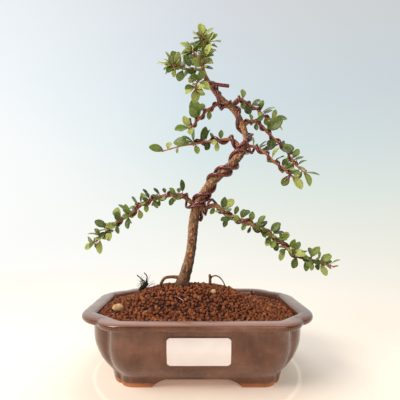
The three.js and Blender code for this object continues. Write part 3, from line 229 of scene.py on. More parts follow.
# Tufts of leaves: place along the limb, angle in the front view, angle towards the viewer,
# reach of the stalks, number of leaves and length of a blade
TUFTS = {
    "trunk": [
        (22.2, 20, -20, 4, 2, 11), (22.6, 200, 55, 5, 3, 12), (23.1, 10, 40, 4, 2, 10),
        (23.5, 150, -40, 5, 2, 11), (24.1, 25, -15, 4, 2, 10), (24.5, 60, 55, 4, 3, 12),
        (24.8, 35, -30, 6, 2, 13), (25, 75, 10, 3, 4, 12),
    ],
    "apex_left": [
        (1.4, 235, 30, 4, 2, 11), (2.2, 110, 20, 5, 2, 12), (2.7, 260, 10, 4, 2, 11),
        (3.4, 115, 5, 7, 2, 15), (3.9, 250, -30, 3, 2, 9), (4.5, 105, 20, 4, 2, 10),
        (4.2, 200, 35, 4, 2, 10), (5, 175, 5, 4, 4, 10),
    ],
    "apex_back": [
        (1, 170, 10, 4, 2, 12), (1.9, 200, -20, 5, 3, 12), (2.4, 80, 35, 4, 2, 11),
        (3, 140, 10, 2, 4, 12),
    ],
    "apex_low": [
        (1.1, 200, 35, 4, 2, 11), (1.8, 325, 10, 5, 2, 11), (2.4, 215, 10, 4, 2, 11),
        (3, 265, 15, 2, 3, 12),
    ],
    "apex_top": [
        (1.1, 190, 15, 5, 2, 12), (1.9, 40, 40, 4, 2, 11), (3, 80, 0, 3, 4, 11),
    ],
    "lower_left": [
        (1.9, 75, 0, 7, 1, 11), (2.3, 70, -35, 4, 1, 7), (3.2, 150, 20, 5, 2, 7),
        (3.9, 245, 30, 4, 1, 7), (4.3, 95, -20, 5, 2, 7), (4.9, 125, 10, 5, 2, 8),
        (5.6, 200, 60, 4, 2, 7), (6.1, 300, 0, 5, 2, 8), (6.5, 100, 30, 5, 2, 9),
        (7, 255, 20, 4, 1, 8), (7.5, 110, -10, 5, 3, 8), (8.1, 120, 40, 7, 1, 10),
        (8.4, 285, -10, 5, 1, 10), (9, 80, -40, 5, 2, 8), (9.4, 120, 10, 6, 2, 9),
        (9.9, 260, 25, 5, 2, 9), (10.4, 100, 40, 4, 2, 8), (11, 125, -20, 6, 2, 11),
        (11.4, 255, 0, 5, 2, 8), (12, 100, 35, 4, 2, 8), (12.6, 140, 10, 6, 3, 11),
        (13.1, 280, 15, 5, 2, 9), (13.8, 90, -30, 4, 2, 9), (14.2, 270, 20, 6, 2, 10),
        (14.9, 130, 25, 4, 2, 9), (16, 215, 10, 3, 3, 9),
    ],
    "lower_right": [
        (3.6, 255, 20, 5, 1, 7), (4.6, 80, 35, 5, 2, 11.5), (5.2, 265, 25, 4, 1, 8),
        (5.7, 65, -20, 6, 2, 8), (6.3, 70, 20, 7, 2, 9.5), (6.9, 200, 60, 4, 2, 8),
        (7.3, 60, -20, 6, 2, 9), (7.8, 265, 10, 4, 1, 6), (8.2, 75, 25, 6, 3, 8),
        (8.9, 250, -10, 4, 1, 6), (9.3, 55, 10, 5, 2, 9), (9.8, 85, 45, 5, 2, 9),
        (10.4, 70, -20, 5, 2, 9), (11, 50, 10, 7, 3, 9), (11.6, 215, 50, 4, 2, 9),
        (12.2, 75, 0, 5, 2, 9), (12.7, 230, 40, 4, 2, 9), (13.2, 45, 40, 5, 3, 8),
        (13.8, 250, 15, 4, 1, 9), (14.3, 80, -20, 5, 3, 9), (14.9, 70, 20, 5, 3, 9),
        (15.5, 240, 30, 5, 2, 9), (15.9, 75, -10, 7, 2, 9), (16.3, 60, 45, 5, 2, 9),
        (16.8, 270, 20, 4, 2, 8), (17.2, 55, 10, 7, 3, 9.5), (17.7, 265, 35, 4, 2, 8),
        (18.2, 35, 30, 5, 3, 9.5), (18.8, 290, 10, 5, 2, 9), (19.2, 60, -10, 4, 2, 8),
    ],
    "middle_left": [
        (4.9, 275, 15, 4, 1, 8), (5.2, 75, 10, 3, 2, 9), (5.7, 95, -10, 3, 1, 8),
        (6, 240, 20, 4, 2, 9), (6.5, 80, 20, 3, 2, 10), (7.3, 85, 15, 3, 3, 14),
        (7.6, 285, 10, 3, 1, 8), (8.1, 115, 25, 3, 2, 16), (9.6, 250, 10, 3, 1, 5),
        (10.4, 80, -20, 2, 1, 8), (11, 165, 15, 2, 1, 15.5),
    ],
    "right_low": [
        (1.5, 75, 10, 3, 2, 9), (2.1, 35, 30, 3, 2, 9), (3.4, 40, -20, 3, 1, 9),
        (5.2, 75, 10, 5, 3, 10), (6, 50, -10, 5, 2, 10), (6.8, 60, 25, 4, 3, 10),
        (7.7, 65, 0, 4, 2, 10), (9, 305, 10, 3, 2, 12),
    ],
    "right_middle": [
        (2.6, 70, -20, 3, 2, 9), (3.1, 265, 20, 5, 2, 9), (5.6, 10, 25, 4, 1, 15),
        (6.4, 245, 25, 4, 1, 14), (7.6, 335, 10, 4, 2, 11), (8.2, 215, 35, 4, 2, 11),
        (9.6, 60, -10, 3, 2, 11), (10.4, 20, 20, 4, 3, 11), (11, 240, 20, 3, 2, 11),
        (11.5, 35, -20, 5, 2, 10), (12.1, 250, 0, 3, 2, 10), (13, 10, 10, 2, 2, 13),
    ],
    "right_top": [
        (3.4, 75, 0, 4, 1, 12), (4.2, 255, 10, 3, 2, 10), (5, 30, 30, 3, 2, 9),
        (6.1, 275, 20, 3, 1, 9), (6.8, 95, 10, 4, 1, 11), (7.1, 40, 15, 4, 2, 13),
        (8, 280, -10, 3, 1, 8), (9, 70, 10, 3, 2, 12), (9, 15, 15, 3, 2, 13),
    ],
    "upper_left": [
        (2.4, 265, 10, 3, 1, 8), (3.4, 105, 10, 4, 1, 9), (4.2, 120, 20, 4, 2, 15),
        (4.6, 150, 10, 3, 1, 15), (6.4, 105, 0, 4, 2, 10), (7, 190, 15, 3, 3, 13),
    ],
}
SPRAYS = {
    "leaves_lower_left": ["lower_left"],
    "leaves_lower_right": ["lower_right"],
    "leaves_middle_left": ["middle_left"],
    "leaves_right_low": ["right_low"],
    "leaves_right_middle": ["right_middle"],
    "leaves_right_top": ["right_top"],
    "leaves_upper_left": ["upper_left"],
    "leaves_apex": ["trunk", "apex_left", "apex_back", "apex_low", "apex_top"],
}
# Wires: the limbs each one follows with its turns there (limb, from, to, pitch, hand), and
# free ends listed point by point
WIRES = {
    "trunk_wire_1": {
        "radius": TRUNK_WIRE_RADIUS, "phase": 150,
        "route": [("trunk", 5.6, 20.4, 32, 1)],
        "tail": [(2.2, -8, 262.6), (8, -10, 259.5), (16, -11, 258.2), (30, -13, 255.6)],
    },
    "trunk_wire_2": {
        "radius": TRUNK_WIRE_RADIUS, "phase": 350,
        "route": [("trunk", 6.35, 11.9, 32, 1), ("middle_left", 0.8, 8, 17, 1)],
    },
    "lower_branch_wire": {
        "radius": BRANCH_WIRE_RADIUS, "phase": 200,
        "route": [
            ("lower_left", 14.2, 0.9, 15, -1), ("trunk", 6.8, 6.2, 15, -1),
            ("lower_right", 1, 17.6, 19, -1),
        ],
    },
    "right_branch_wire": {
        "radius": BRANCH_WIRE_RADIUS, "phase": 90,
        "head": [(77.6, -18, 164.6), (81.4, -18.5, 167)],
        "route": [
            ("right_low", 9, 0.8, 13, 1), ("trunk", 13.5, 14.9, 24, 1),
            ("right_middle", 0.9, 11.6, 14, 1),
        ],
    },
    "top_branch_wire": {
        "radius": BRANCH_WIRE_RADIUS, "phase": 0,
        "route": [
            ("right_top", 8.6, 0.9, 12, -1), ("trunk", 17.5, 18.4, 20, -1),
            ("upper_left", 0.9, 6.6, 12, -1),
        ],
        "tail": [(-7.6, 5, 226.5), (-8, 4.4, 231)],
    },
}
ANCHOR_X = DRAIN_X - 0.8
ANCHOR_TIE = [
    (-11, -31, 62.6), (-17, -26.5, 65.2), (-22, -20, 60), (-ANCHOR_X, 0, 24), (-ANCHOR_X, 0, 8),
    (-ANCHOR_X + 4, 0, 5), (ANCHOR_X - 4, 0, 5), (ANCHOR_X, 0, 8), (ANCHOR_X, 0, 24), (20, -14, 52),
]
# Scars and knots on the trunk: a point near the bark there, radius, rim height, hollow depth
KNOTS = [
    (-5.6, -4, 110.7, 2.6, 1.1, 0.45), (-6.9, -4.5, 98.4, 2.7, 0.8, 0.7),
    (-4.2, -4, 122.2, 1.8, 0.5, 0), (25.5, -10, 178.5, 2.4, 1.6, 0.4), (0.8, 0, 111.5, 1.3, 0.9, 0),
    (-0.6, 0, 97.5, 1.5, 0.8, 0), (-5.4, 0, 83, 1.5, 0.7, 0), (24.8, -6, 166.8, 2, 1.4, 0),
    (0.6, -1, 154.2, 1.5, 1.1, 0), (22, -2, 253.8, 1.9, 1.3, 0.3), (-12, 2, 104, 1.6, 0.8, 0),
    (-10, 4, 130, 1.8, 0.9, 0.3), (48, 4, 216, 1.5, 0.8, 0), (36, 7, 242, 1.6, 0.9, 0.2),
    (-6, 6, 90, 2, 0.9, 0.4),
]

LIMBS = {name: np.array(rows, float) for name, rows in LIMBS.items()}
ROOTS = {name: np.array(rows, float) for name, rows in ROOTS.items()}


# Small helpers

def placed(points):
    """Millimetres from the pot's middle to the frame's metres."""
    return np.asarray(points, float) * MM + POT_CENTRE


def colour(code):
    """A colour as light, from its screen code."""
    parts = np.array([int(code[i:i + 2], 16) for i in (0, 2, 4)]) / 255
    light = np.where(parts <= 0.04045, parts / 12.92, ((parts + 0.055) / 1.055) ** 2.4)
    return (*light.tolist(), 1.0)


class Draws:
    """Random numbers from 0 to 1, the same for the same seed as in the solids."""
    MASK = 0xFFFFFFFF

    def __init__(self, seed):
        self.state = seed & self.MASK

    def __call__(self):
        self.state = (self.state + 0x6D2B79F5) & self.MASK
        t = self.state
        t = ((t ^ (t >> 15)) * (t | 1)) & self.MASK
        t ^= (t + (t ^ (t >> 7)) * (t | 61)) & self.MASK
        return ((t ^ (t >> 14)) & self.MASK) / 4294967296


def unit(v):
    return v / np.linalg.norm(v)


def across(v, direction):
    return unit(v - direction * np.dot(v, direction))


def noise_at(points, scale, seed=0.0):
    """Smooth noise from -1 to 1 at points, with features about 1 / scale across."""
    shift = Vector((seed * 17.3, seed * 5.1, seed * 9.7))
    return np.array([noise.noise(Vector(p) * scale + shift) for p in points])


# Lines and tubes

def spline_at(rows, u):
    last = len(rows) - 1
    i = min(max(math.floor(u), 0), last - 1)
    t = u - i
    p1, p2 = rows[i], rows[i + 1]
    p0 = rows[i - 1] if i > 0 else 2 * p1 - p2
    p3 = rows[i + 2] if i + 2 <= last else 2 * p2 - p1
    bend = 2 * p0 - 5 * p1 + 4 * p2 - p3 + t * (3 * p1 - p0 - 3 * p2 + p3)
    return p1 + 0.5 * t * (p2 - p0 + t * bend)


def sample_spline(rows, start, end, per_row):
    count = max(1, math.ceil(abs(end - start) * per_row - 1e-9))
    return np.array([spline_at(rows, start + (end - start) * k / count) for k in range(count + 1)])


def row_spacing(rows, u):
    i = min(math.floor(u), len(rows) - 2)
    return np.linalg.norm((rows[i + 1] - rows[i])[:3])


def resample(points, spacing):
    """The same line with points a fixed distance apart."""
    points = np.asarray(points, float)
    steps = np.linalg.norm(np.diff(points[:, :3], axis=0), axis=1)
    lengths = np.concatenate([[0], np.cumsum(steps)])
    count = max(1, math.floor(lengths[-1] / spacing + 0.5))
    at = lengths[-1] * np.arange(count + 1) / count
    return np.column_stack([np.interp(at, lengths, column) for column in points.T])


def tangents(points):
    before = np.vstack([points[:1], points[:-1]])[:, :3]
    after = np.vstack([points[1:], points[-1:]])[:, :3]
    ahead = after - before
    return ahead / np.linalg.norm(ahead, axis=1)[:, None]


def side_vectors(directions):
    """Side vectors carried along the line without twisting."""
    first = directions[0]
    sides = [unit(np.cross(first, (0, 0, 1) if abs(first[2]) < 0.9 else (0, 1, 0)))]
    for direction in directions[1:]:
        sides.append(across(sides[-1], direction))
    return np.array(sides)


def ring_faces(rings, sides):
    """Quads between rings of points that are numbered one ring after the other."""
    faces = []
    for r in range(rings - 1):
        for k in range(sides):
            a, b = r * sides + k, r * sides + (k + 1) % sides
            faces.append((a, b, b + sides, a + sides))
    return faces


def tube(rows, sides, round_ends=False):
    """Vertices and faces of a closed tube through rows of x, y, z and radius."""
    rows = np.asarray(rows, float)
    directions = tangents(rows)
    sideways = side_vectors(directions)
    upwards = np.cross(directions, sideways)
    angles = 2 * np.pi * np.arange(sides) / sides
    circle = sideways[:, None] * np.cos(angles)[:, None] + upwards[:, None] * np.sin(angles)[:, None]
    vertices = (rows[:, None, :3] + circle * rows[:, None, 3:4]).reshape(-1, 3)
    bulge = 0.6 if round_ends else 0.0
    tips = [
        rows[0, :3] - directions[0] * rows[0, 3] * bulge,
        rows[-1, :3] + directions[-1] * rows[-1, 3] * bulge,
    ]
    faces = ring_faces(len(rows), sides)
    start, end = len(vertices), len(vertices) + 1
    last = (len(rows) - 1) * sides
    for k in range(sides):
        faces.append((start, (k + 1) % sides, k))
        faces.append((end, last + k, last + (k + 1) % sides))
    return np.vstack([vertices, tips]), faces


def sheet_faces(rows, columns):
    """Faces of a closed sheet: a grid of points, the same grid below it and walls all round."""
    top = np.arange(rows * columns).reshape(rows, columns)
    low = top + rows * columns
    faces = []
    for i in range(rows - 1):
        for j in range(columns - 1):
            faces.append((top[i, j], top[i + 1, j], top[i + 1, j + 1], top[i, j + 1]))
            faces.append((low[i, j], low[i, j + 1], low[i + 1, j + 1], low[i + 1, j]))
        for j, step in ((0, 1), (columns - 1, -1)):
            faces.append((top[i, j], low[i, j], low[i + 1, j], top[i + 1, j])[::step])
    for i, step in ((0, -1), (rows - 1, 1)):
        for j in range(columns - 1):
            faces.append((top[i, j], low[i, j], low[i, j + 1], top[i, j + 1])[::step])
    return faces


def gathered(parts):
    """Several (vertices, faces) as one."""
    vertices, faces, offset = [], [], 0
    for part_vertices, part_faces in parts:
        vertices.append(part_vertices)
        faces.extend(tuple(i + offset for i in face) for face in part_faces)
        offset += len(part_vertices)
    return np.vstack(vertices), faces


# Meshes

def new_object(name, vertices, faces, material, sharp_angle=None):
    mesh = bpy.data.meshes.new(name)
    mesh.from_pydata(placed(vertices).tolist(), [], faces)
    mesh.update()
    mesh.shade_smooth()
    if sharp_angle:
        mesh.set_sharp_from_angle(angle=math.radians(sharp_angle))
    made = bpy.data.objects.new(name, mesh)
    made.data.materials.append(material)
    bpy.context.scene.collection.objects.link(made)
    return made


def vertices_of(made):
    """The mesh's vertices, in millimetres from the pot's middle."""
    flat = np.empty(len(made.data.vertices) * 3)
    made.data.vertices.foreach_get("co", flat)
    return (flat.reshape(-1, 3) - POT_CENTRE) / MM


def normals_of(made):
    flat = np.empty(len(made.data.vertices) * 3)
    made.data.vertices.foreach_get("normal", flat)
    return flat.reshape(-1, 3)


def move_vertices(made, vertices):
    made.data.vertices.foreach_set("co", placed(vertices).ravel())
    made.data.update()


def edges_of(made):
    flat = np.empty(len(made.data.edges) * 2, int)
    made.data.edges.foreach_get("vertices", flat)
    return flat.reshape(-1, 2)


def neighbour_mean(values, edges):
    total = np.zeros_like(values)
    count = np.zeros(len(values))
    for a, b in (edges.T, edges.T[::-1]):
        np.add.at(total, a, values[b])
        np.add.at(count, a, 1)
    return total / np.maximum(count, 1)[:, None]


def smooth_vertices(made, rounds, share):
    edges, vertices = edges_of(made), vertices_of(made)
    for _ in range(rounds):
        vertices += share * (neighbour_mean(vertices, edges) - vertices)
    move_vertices(made, vertices)


def store(made, name, values):
    attribute = made.data.attributes.new(name, "FLOAT", "POINT")
    attribute.data.foreach_set("value", np.asarray(values, np.float32))


def apply_modifiers(made):
    evaluated = made.evaluated_get(bpy.context.evaluated_depsgraph_get())
    mesh = bpy.data.meshes.new_from_object(evaluated)
    made.modifiers.clear()
    made.data = mesh


def remeshed(made, voxel):
    modifier = made.modifiers.new("one skin", "REMESH")
    modifier.mode = "VOXEL"
    modifier.voxel_size = voxel * MM
    apply_modifiers(made)
    made.data.shade_smooth()
    return made


def cut(made, vertices, faces):
    cutter = new_object("cutter", vertices, faces, made.data.materials[0])
    modifier = made.modifiers.new("cut", "BOOLEAN")
    modifier.operation = "DIFFERENCE"
    modifier.solver = "EXACT"
    modifier.object = cutter
    bpy.context.view_layer.update()
    apply_modifiers(made)
    bpy.data.objects.remove(cutter)


def stands_for(made, node):
    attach(made, "root")
    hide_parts(node)


# Materials

def add_node(tree, kind, inputs, **settings):
    """A node with its inputs linked or set, by name or number; a text is a screen code."""
    made = tree.nodes.new(kind)
    for key, value in settings.items():
        setattr(made, key, value)
    for key, value in inputs.items():
        if isinstance(value, bpy.types.NodeSocket):
            tree.links.new(value, made.inputs[key])
        else:
            made.inputs[key].default_value = colour(value) if isinstance(value, str) else value
    return made


def new_material(name, code, roughness, **sockets):
    material = bpy.data.materials.new(name)
    material.use_nodes = True
    tree = material.node_tree
    shader = tree.nodes["Principled BSDF"]
    shader.inputs["Base Color"].default_value = colour(code)
    shader.inputs["Roughness"].default_value = roughness
    for key, value in sockets.items():
        shader.inputs[key.replace("_", " ")].default_value = value
    return material, tree, shader


def millimetres(tree, stretch=(1, 1, 1)):
    """Coordinates on the object in millimetres."""
    coordinates = add_node(tree, "ShaderNodeTexCoord", {}).outputs["Object"]
    scale = tuple(s / MM for s in stretch)
    return add_node(tree, "ShaderNodeMapping", {"Vector": coordinates, "Scale": scale}).outputs[0]


def noise_node(tree, coordinates, scale, detail=4.0, roughness=0.55):
    inputs = {"Vector": coordinates, "Scale": scale, "Detail": detail, "Roughness": roughness}
    return add_node(tree, "ShaderNodeTexNoise", inputs).outputs[0]


def ramp(tree, value, *stops):
    """Colours by value: each stop is a place from 0 to 1 and a screen code or a number."""
    made = add_node(tree, "ShaderNodeValToRGB", {"Fac": value})
    elements = made.color_ramp.elements
    while len(elements) < len(stops):
        elements.new(0.5)
    for element, (place, tone) in zip(elements, stops):
        element.position = place
        element.color = colour(tone) if isinstance(tone, str) else (tone, tone, tone, 1)
    return made.outputs[0]


def blend(tree, factor, first, second):
    """The first colour turning into the second as the factor goes from 0 to 1."""
    inputs = {0: factor, 6: first, 7: second}
    return add_node(tree, "ShaderNodeMix", inputs, data_type="RGBA", clamp_factor=True).outputs[2]


def maths(tree, operation, first, second=0.0):
    return add_node(tree, "ShaderNodeMath", {0: first, 1: second}, operation=operation).outputs[0]


def attribute(tree, name):
    return add_node(tree, "ShaderNodeAttribute", {}, attribute_name=name).outputs["Fac"]


def stained(tree, base, cloud, start, end, share, tone):
    """The base with a stain of the given colour where the cloud passes from start to end."""
    return blend(tree, ramp(tree, cloud, (start, 0.0), (end, share)), base, tone)


def finished(tree, shader, base, height, distance, strength):
    """Sets the base colour, and relief of the given height in millimetres."""
    tree.links.new(base, shader.inputs["Base Color"])
    inputs = {"Height": height, "Distance": distance * MM, "Strength": strength}
    made = add_node(tree, "ShaderNodeBump", inputs)
    tree.links.new(made.outputs[0], shader.inputs["Normal"])


def glaze():
    """Brown-mauve glaze, rust red where it runs thin over edges, a painted highlight on top of the lip,
    bare clay under the feet.
    """
    material, tree, shader = new_material(
        "glaze", "70503f", 0.2, Coat_Weight=0.25, Coat_Roughness=0.05, Specular_IOR_Level=0.42,
        Specular_Tint=(1.0, 0.9, 0.84, 1.0),
    )
    at = millimetres(tree)
    clouds = noise_node(tree, at, 0.035, 5, 0.6)
    base = ramp(tree, clouds, (0.3, "452315"), (0.5, "5f3927"), (0.72, "7a5342"))
    runs = noise_node(tree, millimetres(tree, (0.22, 0.22, 0.03)), 1.0, 4)
    base = stained(tree, base, runs, 0.5, 0.75, 0.3, "84604a")
    streaks = noise_node(tree, millimetres(tree, (0.05, 0.05, 0.5)), 1.0, 5, 0.65)
    base = stained(tree, base, streaks, 0.54, 0.72, 0.3, "3d2118")
    base = stained(tree, base, noise_node(tree, at, 1.6, 3), 0.6, 0.78, 0.5, "42271d")
    # Painted highlight: pale mauve on the upward top of the lip, strongest in front
    base = blend(tree, maths(tree, "MULTIPLY", attribute(tree, "top"), 0.6), base, "b48f80")
    thin = maths(tree, "MULTIPLY", attribute(tree, "wear"), ramp(tree, runs, (0.3, 0.5), (0.6, 1.0)))
    base = blend(tree, thin, base, "6e3a22")
    base = blend(tree, attribute(tree, "bare"), base, "b8734a")
    gloss = ramp(tree, noise_node(tree, at, 0.12, 4), (0.35, 0.12), (0.7, 0.26))
    rough = blend(tree, attribute(tree, "bare"), gloss, (0.85, 0.85, 0.85, 1))
    tree.links.new(rough, shader.inputs["Roughness"])
    finished(tree, shader, base, noise_node(tree, at, 0.25, 3), 0.25, 0.5)
    return material


def bark():
    """Tan-brown bark; younger wood is smoother and redder, scars are orange; painted light makes the
    side facing the light paler and painted shade makes the other side darker.
    """
    material, tree, shader = new_material("bark", "7a5a40", 0.75)
    at = millimetres(tree)
    along = noise_node(tree, millimetres(tree, (0.9, 0.9, 0.28)), 0.8, 6, 0.65)
    old = ramp(tree, along, (0.36, "2f1b10"), (0.47, "68432a"), (0.57, "976b48"), (0.67, "c99f7a"))
    old = stained(tree, old, noise_node(tree, at, 0.09, 3), 0.46, 0.66, 0.35, "655930")
    old = stained(tree, old, noise_node(tree, at, 0.3, 4, 0.65), 0.54, 0.64, 0.6, "cfb08c")
    young = ramp(tree, along, (0.34, "482616"), (0.52, "8f5730"), (0.68, "c48c58"))
    base = blend(tree, attribute(tree, "age"), young, old)
    cracks = noise_node(tree, millimetres(tree, (0.3, 0.3, 1.3)), 1.0, 5, 0.6)
    base = stained(tree, base, cracks, 0.57, 0.66, 0.7, "2f1b12")
    base = stained(tree, base, noise_node(tree, at, 2.2, 2), 0.62, 0.72, 0.55, "3b2317")
    # Painted light and shade: paler bark on the side facing the key light, darker on the side away from
    # it
    base = blend(tree, attribute(tree, "painted_light_side"), base, "cfa47c")
    base = blend(tree, attribute(tree, "painted_shade_side"), base, "2e1a10")
    scar = attribute(tree, "scar")
    cut_wood = ramp(tree, scar, (0.3, "3f2315"), (0.55, "7d4b2b"), (0.85, "c9834b"))
    base = stained(tree, base, scar, 0.06, 0.28, 0.92, cut_wood)
    # Bark darker near the soil, most at the foot of the trunk
    base = blend(tree, attribute(tree, "dark_near_soil"), base, "2a1710")
    fine = noise_node(tree, millimetres(tree, (1, 1, 0.6)), 1.8, 6, 0.65)
    finished(tree, shader, base, fine, 0.7, 0.9)
    return material


def twig():
    """Thin new wood, red-brown with paler joints."""
    material, tree, shader = new_material("twig", "8a5634", 0.6)
    tone = noise_node(tree, millimetres(tree), 0.9, 4)
    old = ramp(tree, tone, (0.3, "50301f"), (0.5, "835535"), (0.72, "ab7c4f"))
    young = ramp(tree, tone, (0.3, "84482a"), (0.7, "bb7f4b"))
    base = blend(tree, attribute(tree, "age"), young, old)
    finished(tree, shader, base, noise_node(tree, millimetres(tree), 2.5, 4), 0.25, 0.7)
    return material


def leaf():
    """Green blades with paler veins, paler and greyer below, yellower when young, with painted shade at
    the foot of each blade.
    """
    material, tree, shader = new_material(
        "leaf", "6f8f34", 0.4, Subsurface_Weight=0.1, Subsurface_Scale=0.6 * MM, Specular_IOR_Level=0.4,
    )
    shader.inputs["Subsurface Radius"].default_value = (0.8, 1.0, 0.3)
    tint = attribute(tree, "tint")
    top = ramp(tree, tint, (0.0, "1f2d08"), (0.3, "3f5317"), (0.62, "6e8137"), (1.0, "a8b262"))
    top = stained(tree, top, noise_node(tree, millimetres(tree), 0.35, 3), 0.4, 0.7, 0.3, "7d8d42")
    below = ramp(tree, tint, (0.0, "566840"), (1.0, "a1aa72"))
    uv = add_node(tree, "ShaderNodeUVMap", {}, uv_map="UVMap").outputs[0]
    parts = add_node(tree, "ShaderNodeSeparateXYZ", {"Vector": uv})
    sideways = maths(tree, "ABSOLUTE", maths(tree, "SUBTRACT", parts.outputs[0], 0.5))
    rib = ramp(tree, sideways, (0.0, 1.0), (0.05, 0.0))
    slant = maths(tree, "SUBTRACT", maths(tree, "MULTIPLY", parts.outputs[1], 7.0),
                  maths(tree, "MULTIPLY", sideways, 4.0))
    teeth = maths(tree, "PINGPONG", slant, 0.5)
    veins = maths(tree, "MAXIMUM", rib, ramp(tree, teeth, (0.0, 0.7), (0.1, 0.0)))
    top = blend(tree, maths(tree, "MULTIPLY", veins, 0.22), top, "a3b566")
    base = blend(tree, attribute(tree, "under"), top, below)
    # Painted shade: the foot of each blade, near the twig, is darkened
    base = blend(tree, ramp(tree, parts.outputs[1], (0.0, 0.6), (0.4, 0.0)), base, "26340f")
    base = blend(tree, attribute(tree, "stalk"), base, "9a7a44")
    finished(tree, shader, base, veins, -0.12, 0.6)
    return material


def grains():
    """Baked clay grains, each of its own red-brown."""
    material, tree, shader = new_material("clay_grains", "7a4428", 0.9)
    tint = attribute(tree, "tint")
    base = ramp(tree, tint, (0.0, "3c1b0b"), (0.35, "683317"), (0.75, "884a24"), (1.0, "a2653a"))
    base = stained(tree, base, noise_node(tree, millimetres(tree), 0.9, 4), 0.45, 0.7, 0.4, "a56035")
    finished(tree, shader, base, noise_node(tree, millimetres(tree), 2.2, 5, 0.7), 0.35, 0.9)
    return material


def anodised_wire():
    """Aluminium wire with a maroon-brown coat, scuffed in places."""
    material, tree, shader = new_material(
        "anodised_wire", "5a2a26", 0.25, Metallic=0.45, Coat_Weight=0.5, Coat_Roughness=0.12,
    )
    scuffs = noise_node(tree, millimetres(tree), 0.45, 5, 0.65)
    base = ramp(tree, scuffs, (0.35, "4b1c1a"), (0.55, "6a302d"), (0.75, "93564e"))
    rough = ramp(tree, noise_node(tree, millimetres(tree), 1.4, 4), (0.35, 0.18), (0.7, 0.36))
    tree.links.new(rough, shader.inputs["Roughness"])
    finished(tree, shader, base, noise_node(tree, millimetres(tree), 2.5, 3), 0.05, 0.6)
    return material


def matt(name, low, high, scale, roughness, relief):
    """A plain matt surface that varies a little from one screen code to the other."""
    material, tree, shader = new_material(name, low, roughness)
    base = ramp(tree, noise_node(tree, millimetres(tree), scale, 4), (0.35, low), (0.7, high))
    finished(tree, shader, base, noise_node(tree, millimetres(tree), scale * 4, 4), relief, 0.8)
    return material


# Pot

def out_of_square(points):
    x, y = points[:, 0], points[:, 1]
    back = np.maximum(0, y - SPREAD["from"])
    lean = SPREAD["left"] * back * np.minimum(1, np.maximum(0, -x) / SPREAD["middle"])
    return np.column_stack([x - lean, y - SPREAD["back"] * x * back])


def ring_of(right, left, height):
    """A ring from the front right corner and the front left one, which is given mirrored, and
    the same two at the back, with points along the straight sides too."""
    corners = [right, right[::-1] * (1, -1), -left, left[::-1] * (-1, 1)]
    places = (1 - np.cos(np.pi * np.arange(1, SIDE_STEPS) / SIDE_STEPS)) / 2
    points = []
    for this, following in zip(corners, corners[1:] + corners[:1]):
        points.append(this)
        points.append(this[-1] + (following[0] - this[-1]) * places[:, None])
    ring = out_of_square(np.vstack(points))
    ring = 0.5 * ring + 0.25 * (np.roll(ring, 1, axis=0) + np.roll(ring, -1, axis=0))
    return np.column_stack([ring, np.full(len(ring), height)])


def outer_corner(inset, notch, rounding, stretch):
    """Two shallow arcs, part arc and part straight, meet in a cusp."""
    half = np.array([POT_HALF_WIDTH - inset, POT_HALF_DEPTH - inset])
    size = notch * np.array(stretch)
    bend = rounding * np.array(ROUND_STRETCH)
    cusp = np.array([half[0] - size[0], -(half[1] - size[1])])
    t = np.arange(CORNER_STEPS + 1) / CORNER_STEPS
    rise = t + ARC_SHARE * (np.sin(np.pi / 2 * t) - t)
    drop = t + ARC_SHARE * (1 - np.cos(np.pi / 2 * t) - t)
    first = np.column_stack([cusp[0] - bend[0] * (1 - rise), cusp[1] - size[1] * (1 - drop)])
    second = np.column_stack([cusp[0] + size[0] * rise[1:], cusp[1] + bend[1] * drop[1:]])
    return np.vstack([first, second])


def outer_ring(height, inset, notch, rounding):
    right = outer_corner(inset, notch, rounding, NOTCH_STRETCH["right"])
    left = outer_corner(inset, notch, rounding, NOTCH_STRETCH["left"])
    return ring_of(right, left, height)


def inner_ring(height, inset, clear=0.0):
    """A ring of the inner wall, whose corners are cut straight."""
    half = np.array([POT_HALF_WIDTH - INNER_END_INSET, POT_HALF_DEPTH]) - inset - clear
    t = np.arange(2 * CORNER_STEPS + 1)[:, None] / (2 * CORNER_STEPS)
    corners = []
    for side in ("right", "left"):
        across, deep = INNER_CORNER[side]
        start = np.array([half[0] - across, -half[1]])
        end = np.array([half[0], deep - half[1]])
        corners.append(start + (end - start) * t)
    return ring_of(*corners, height)


def lofted(rings):
    """Quads between rings with as many points each, and a flat face on both ends."""
    count = len(rings[0])
    faces = ring_faces(len(rings), count)
    faces.append(tuple(range(count))[::-1])
    faces.append(tuple(range((len(rings) - 1) * count, len(rings) * count)))
    return np.vstack(rings), faces


def box(low, high):
    x0, y0, z0 = low
    x1, y1, z1 = high
    vertices = [(x0, y0, z0), (x1, y0, z0), (x1, y1, z0), (x0, y1, z0),
                (x0, y0, z1), (x1, y0, z1), (x1, y1, z1), (x0, y1, z1)]
    faces = [(0, 3, 2, 1), (4, 5, 6, 7), (0, 1, 5, 4), (1, 2, 6, 5), (2, 3, 7, 6), (3, 0, 4, 7)]
    return np.array(vertices, float), faces


def foot_arch(arch, half_length, along_x):
    """A prism under the pot with soft shoulders: what it cuts away leaves the feet."""
    t = np.arange(ARCH_STEPS + 1) / ARCH_STEPS
    half_width = arch["bottom"] + (arch["top"] - arch["bottom"]) * t ** ARCH_FLARE
    height = FOOT_HEIGHT * (1 - (1 - t) ** ARCH_CROWN)
    right = np.column_stack([half_width, height])
    right = np.vstack([[arch["bottom"], -1], right])
    outline = np.vstack([right, (right * (-1, 1))[::-1]])
    ends = []
    for end in (half_length, -half_length):
        x, z = outline.T
        y = np.full(len(x), end)
        ends.append(np.column_stack([y, x, z] if along_x else [x, y, z]))
    count = len(outline)
    faces = [(k, (k + 1) % count, (k + 1) % count + count, k + count) for k in range(count)]
    faces += [tuple(range(count))[::-1], tuple(range(count, 2 * count))]
    if along_x:
        faces = [face[::-1] for face in faces]
    return np.vstack(ends), faces


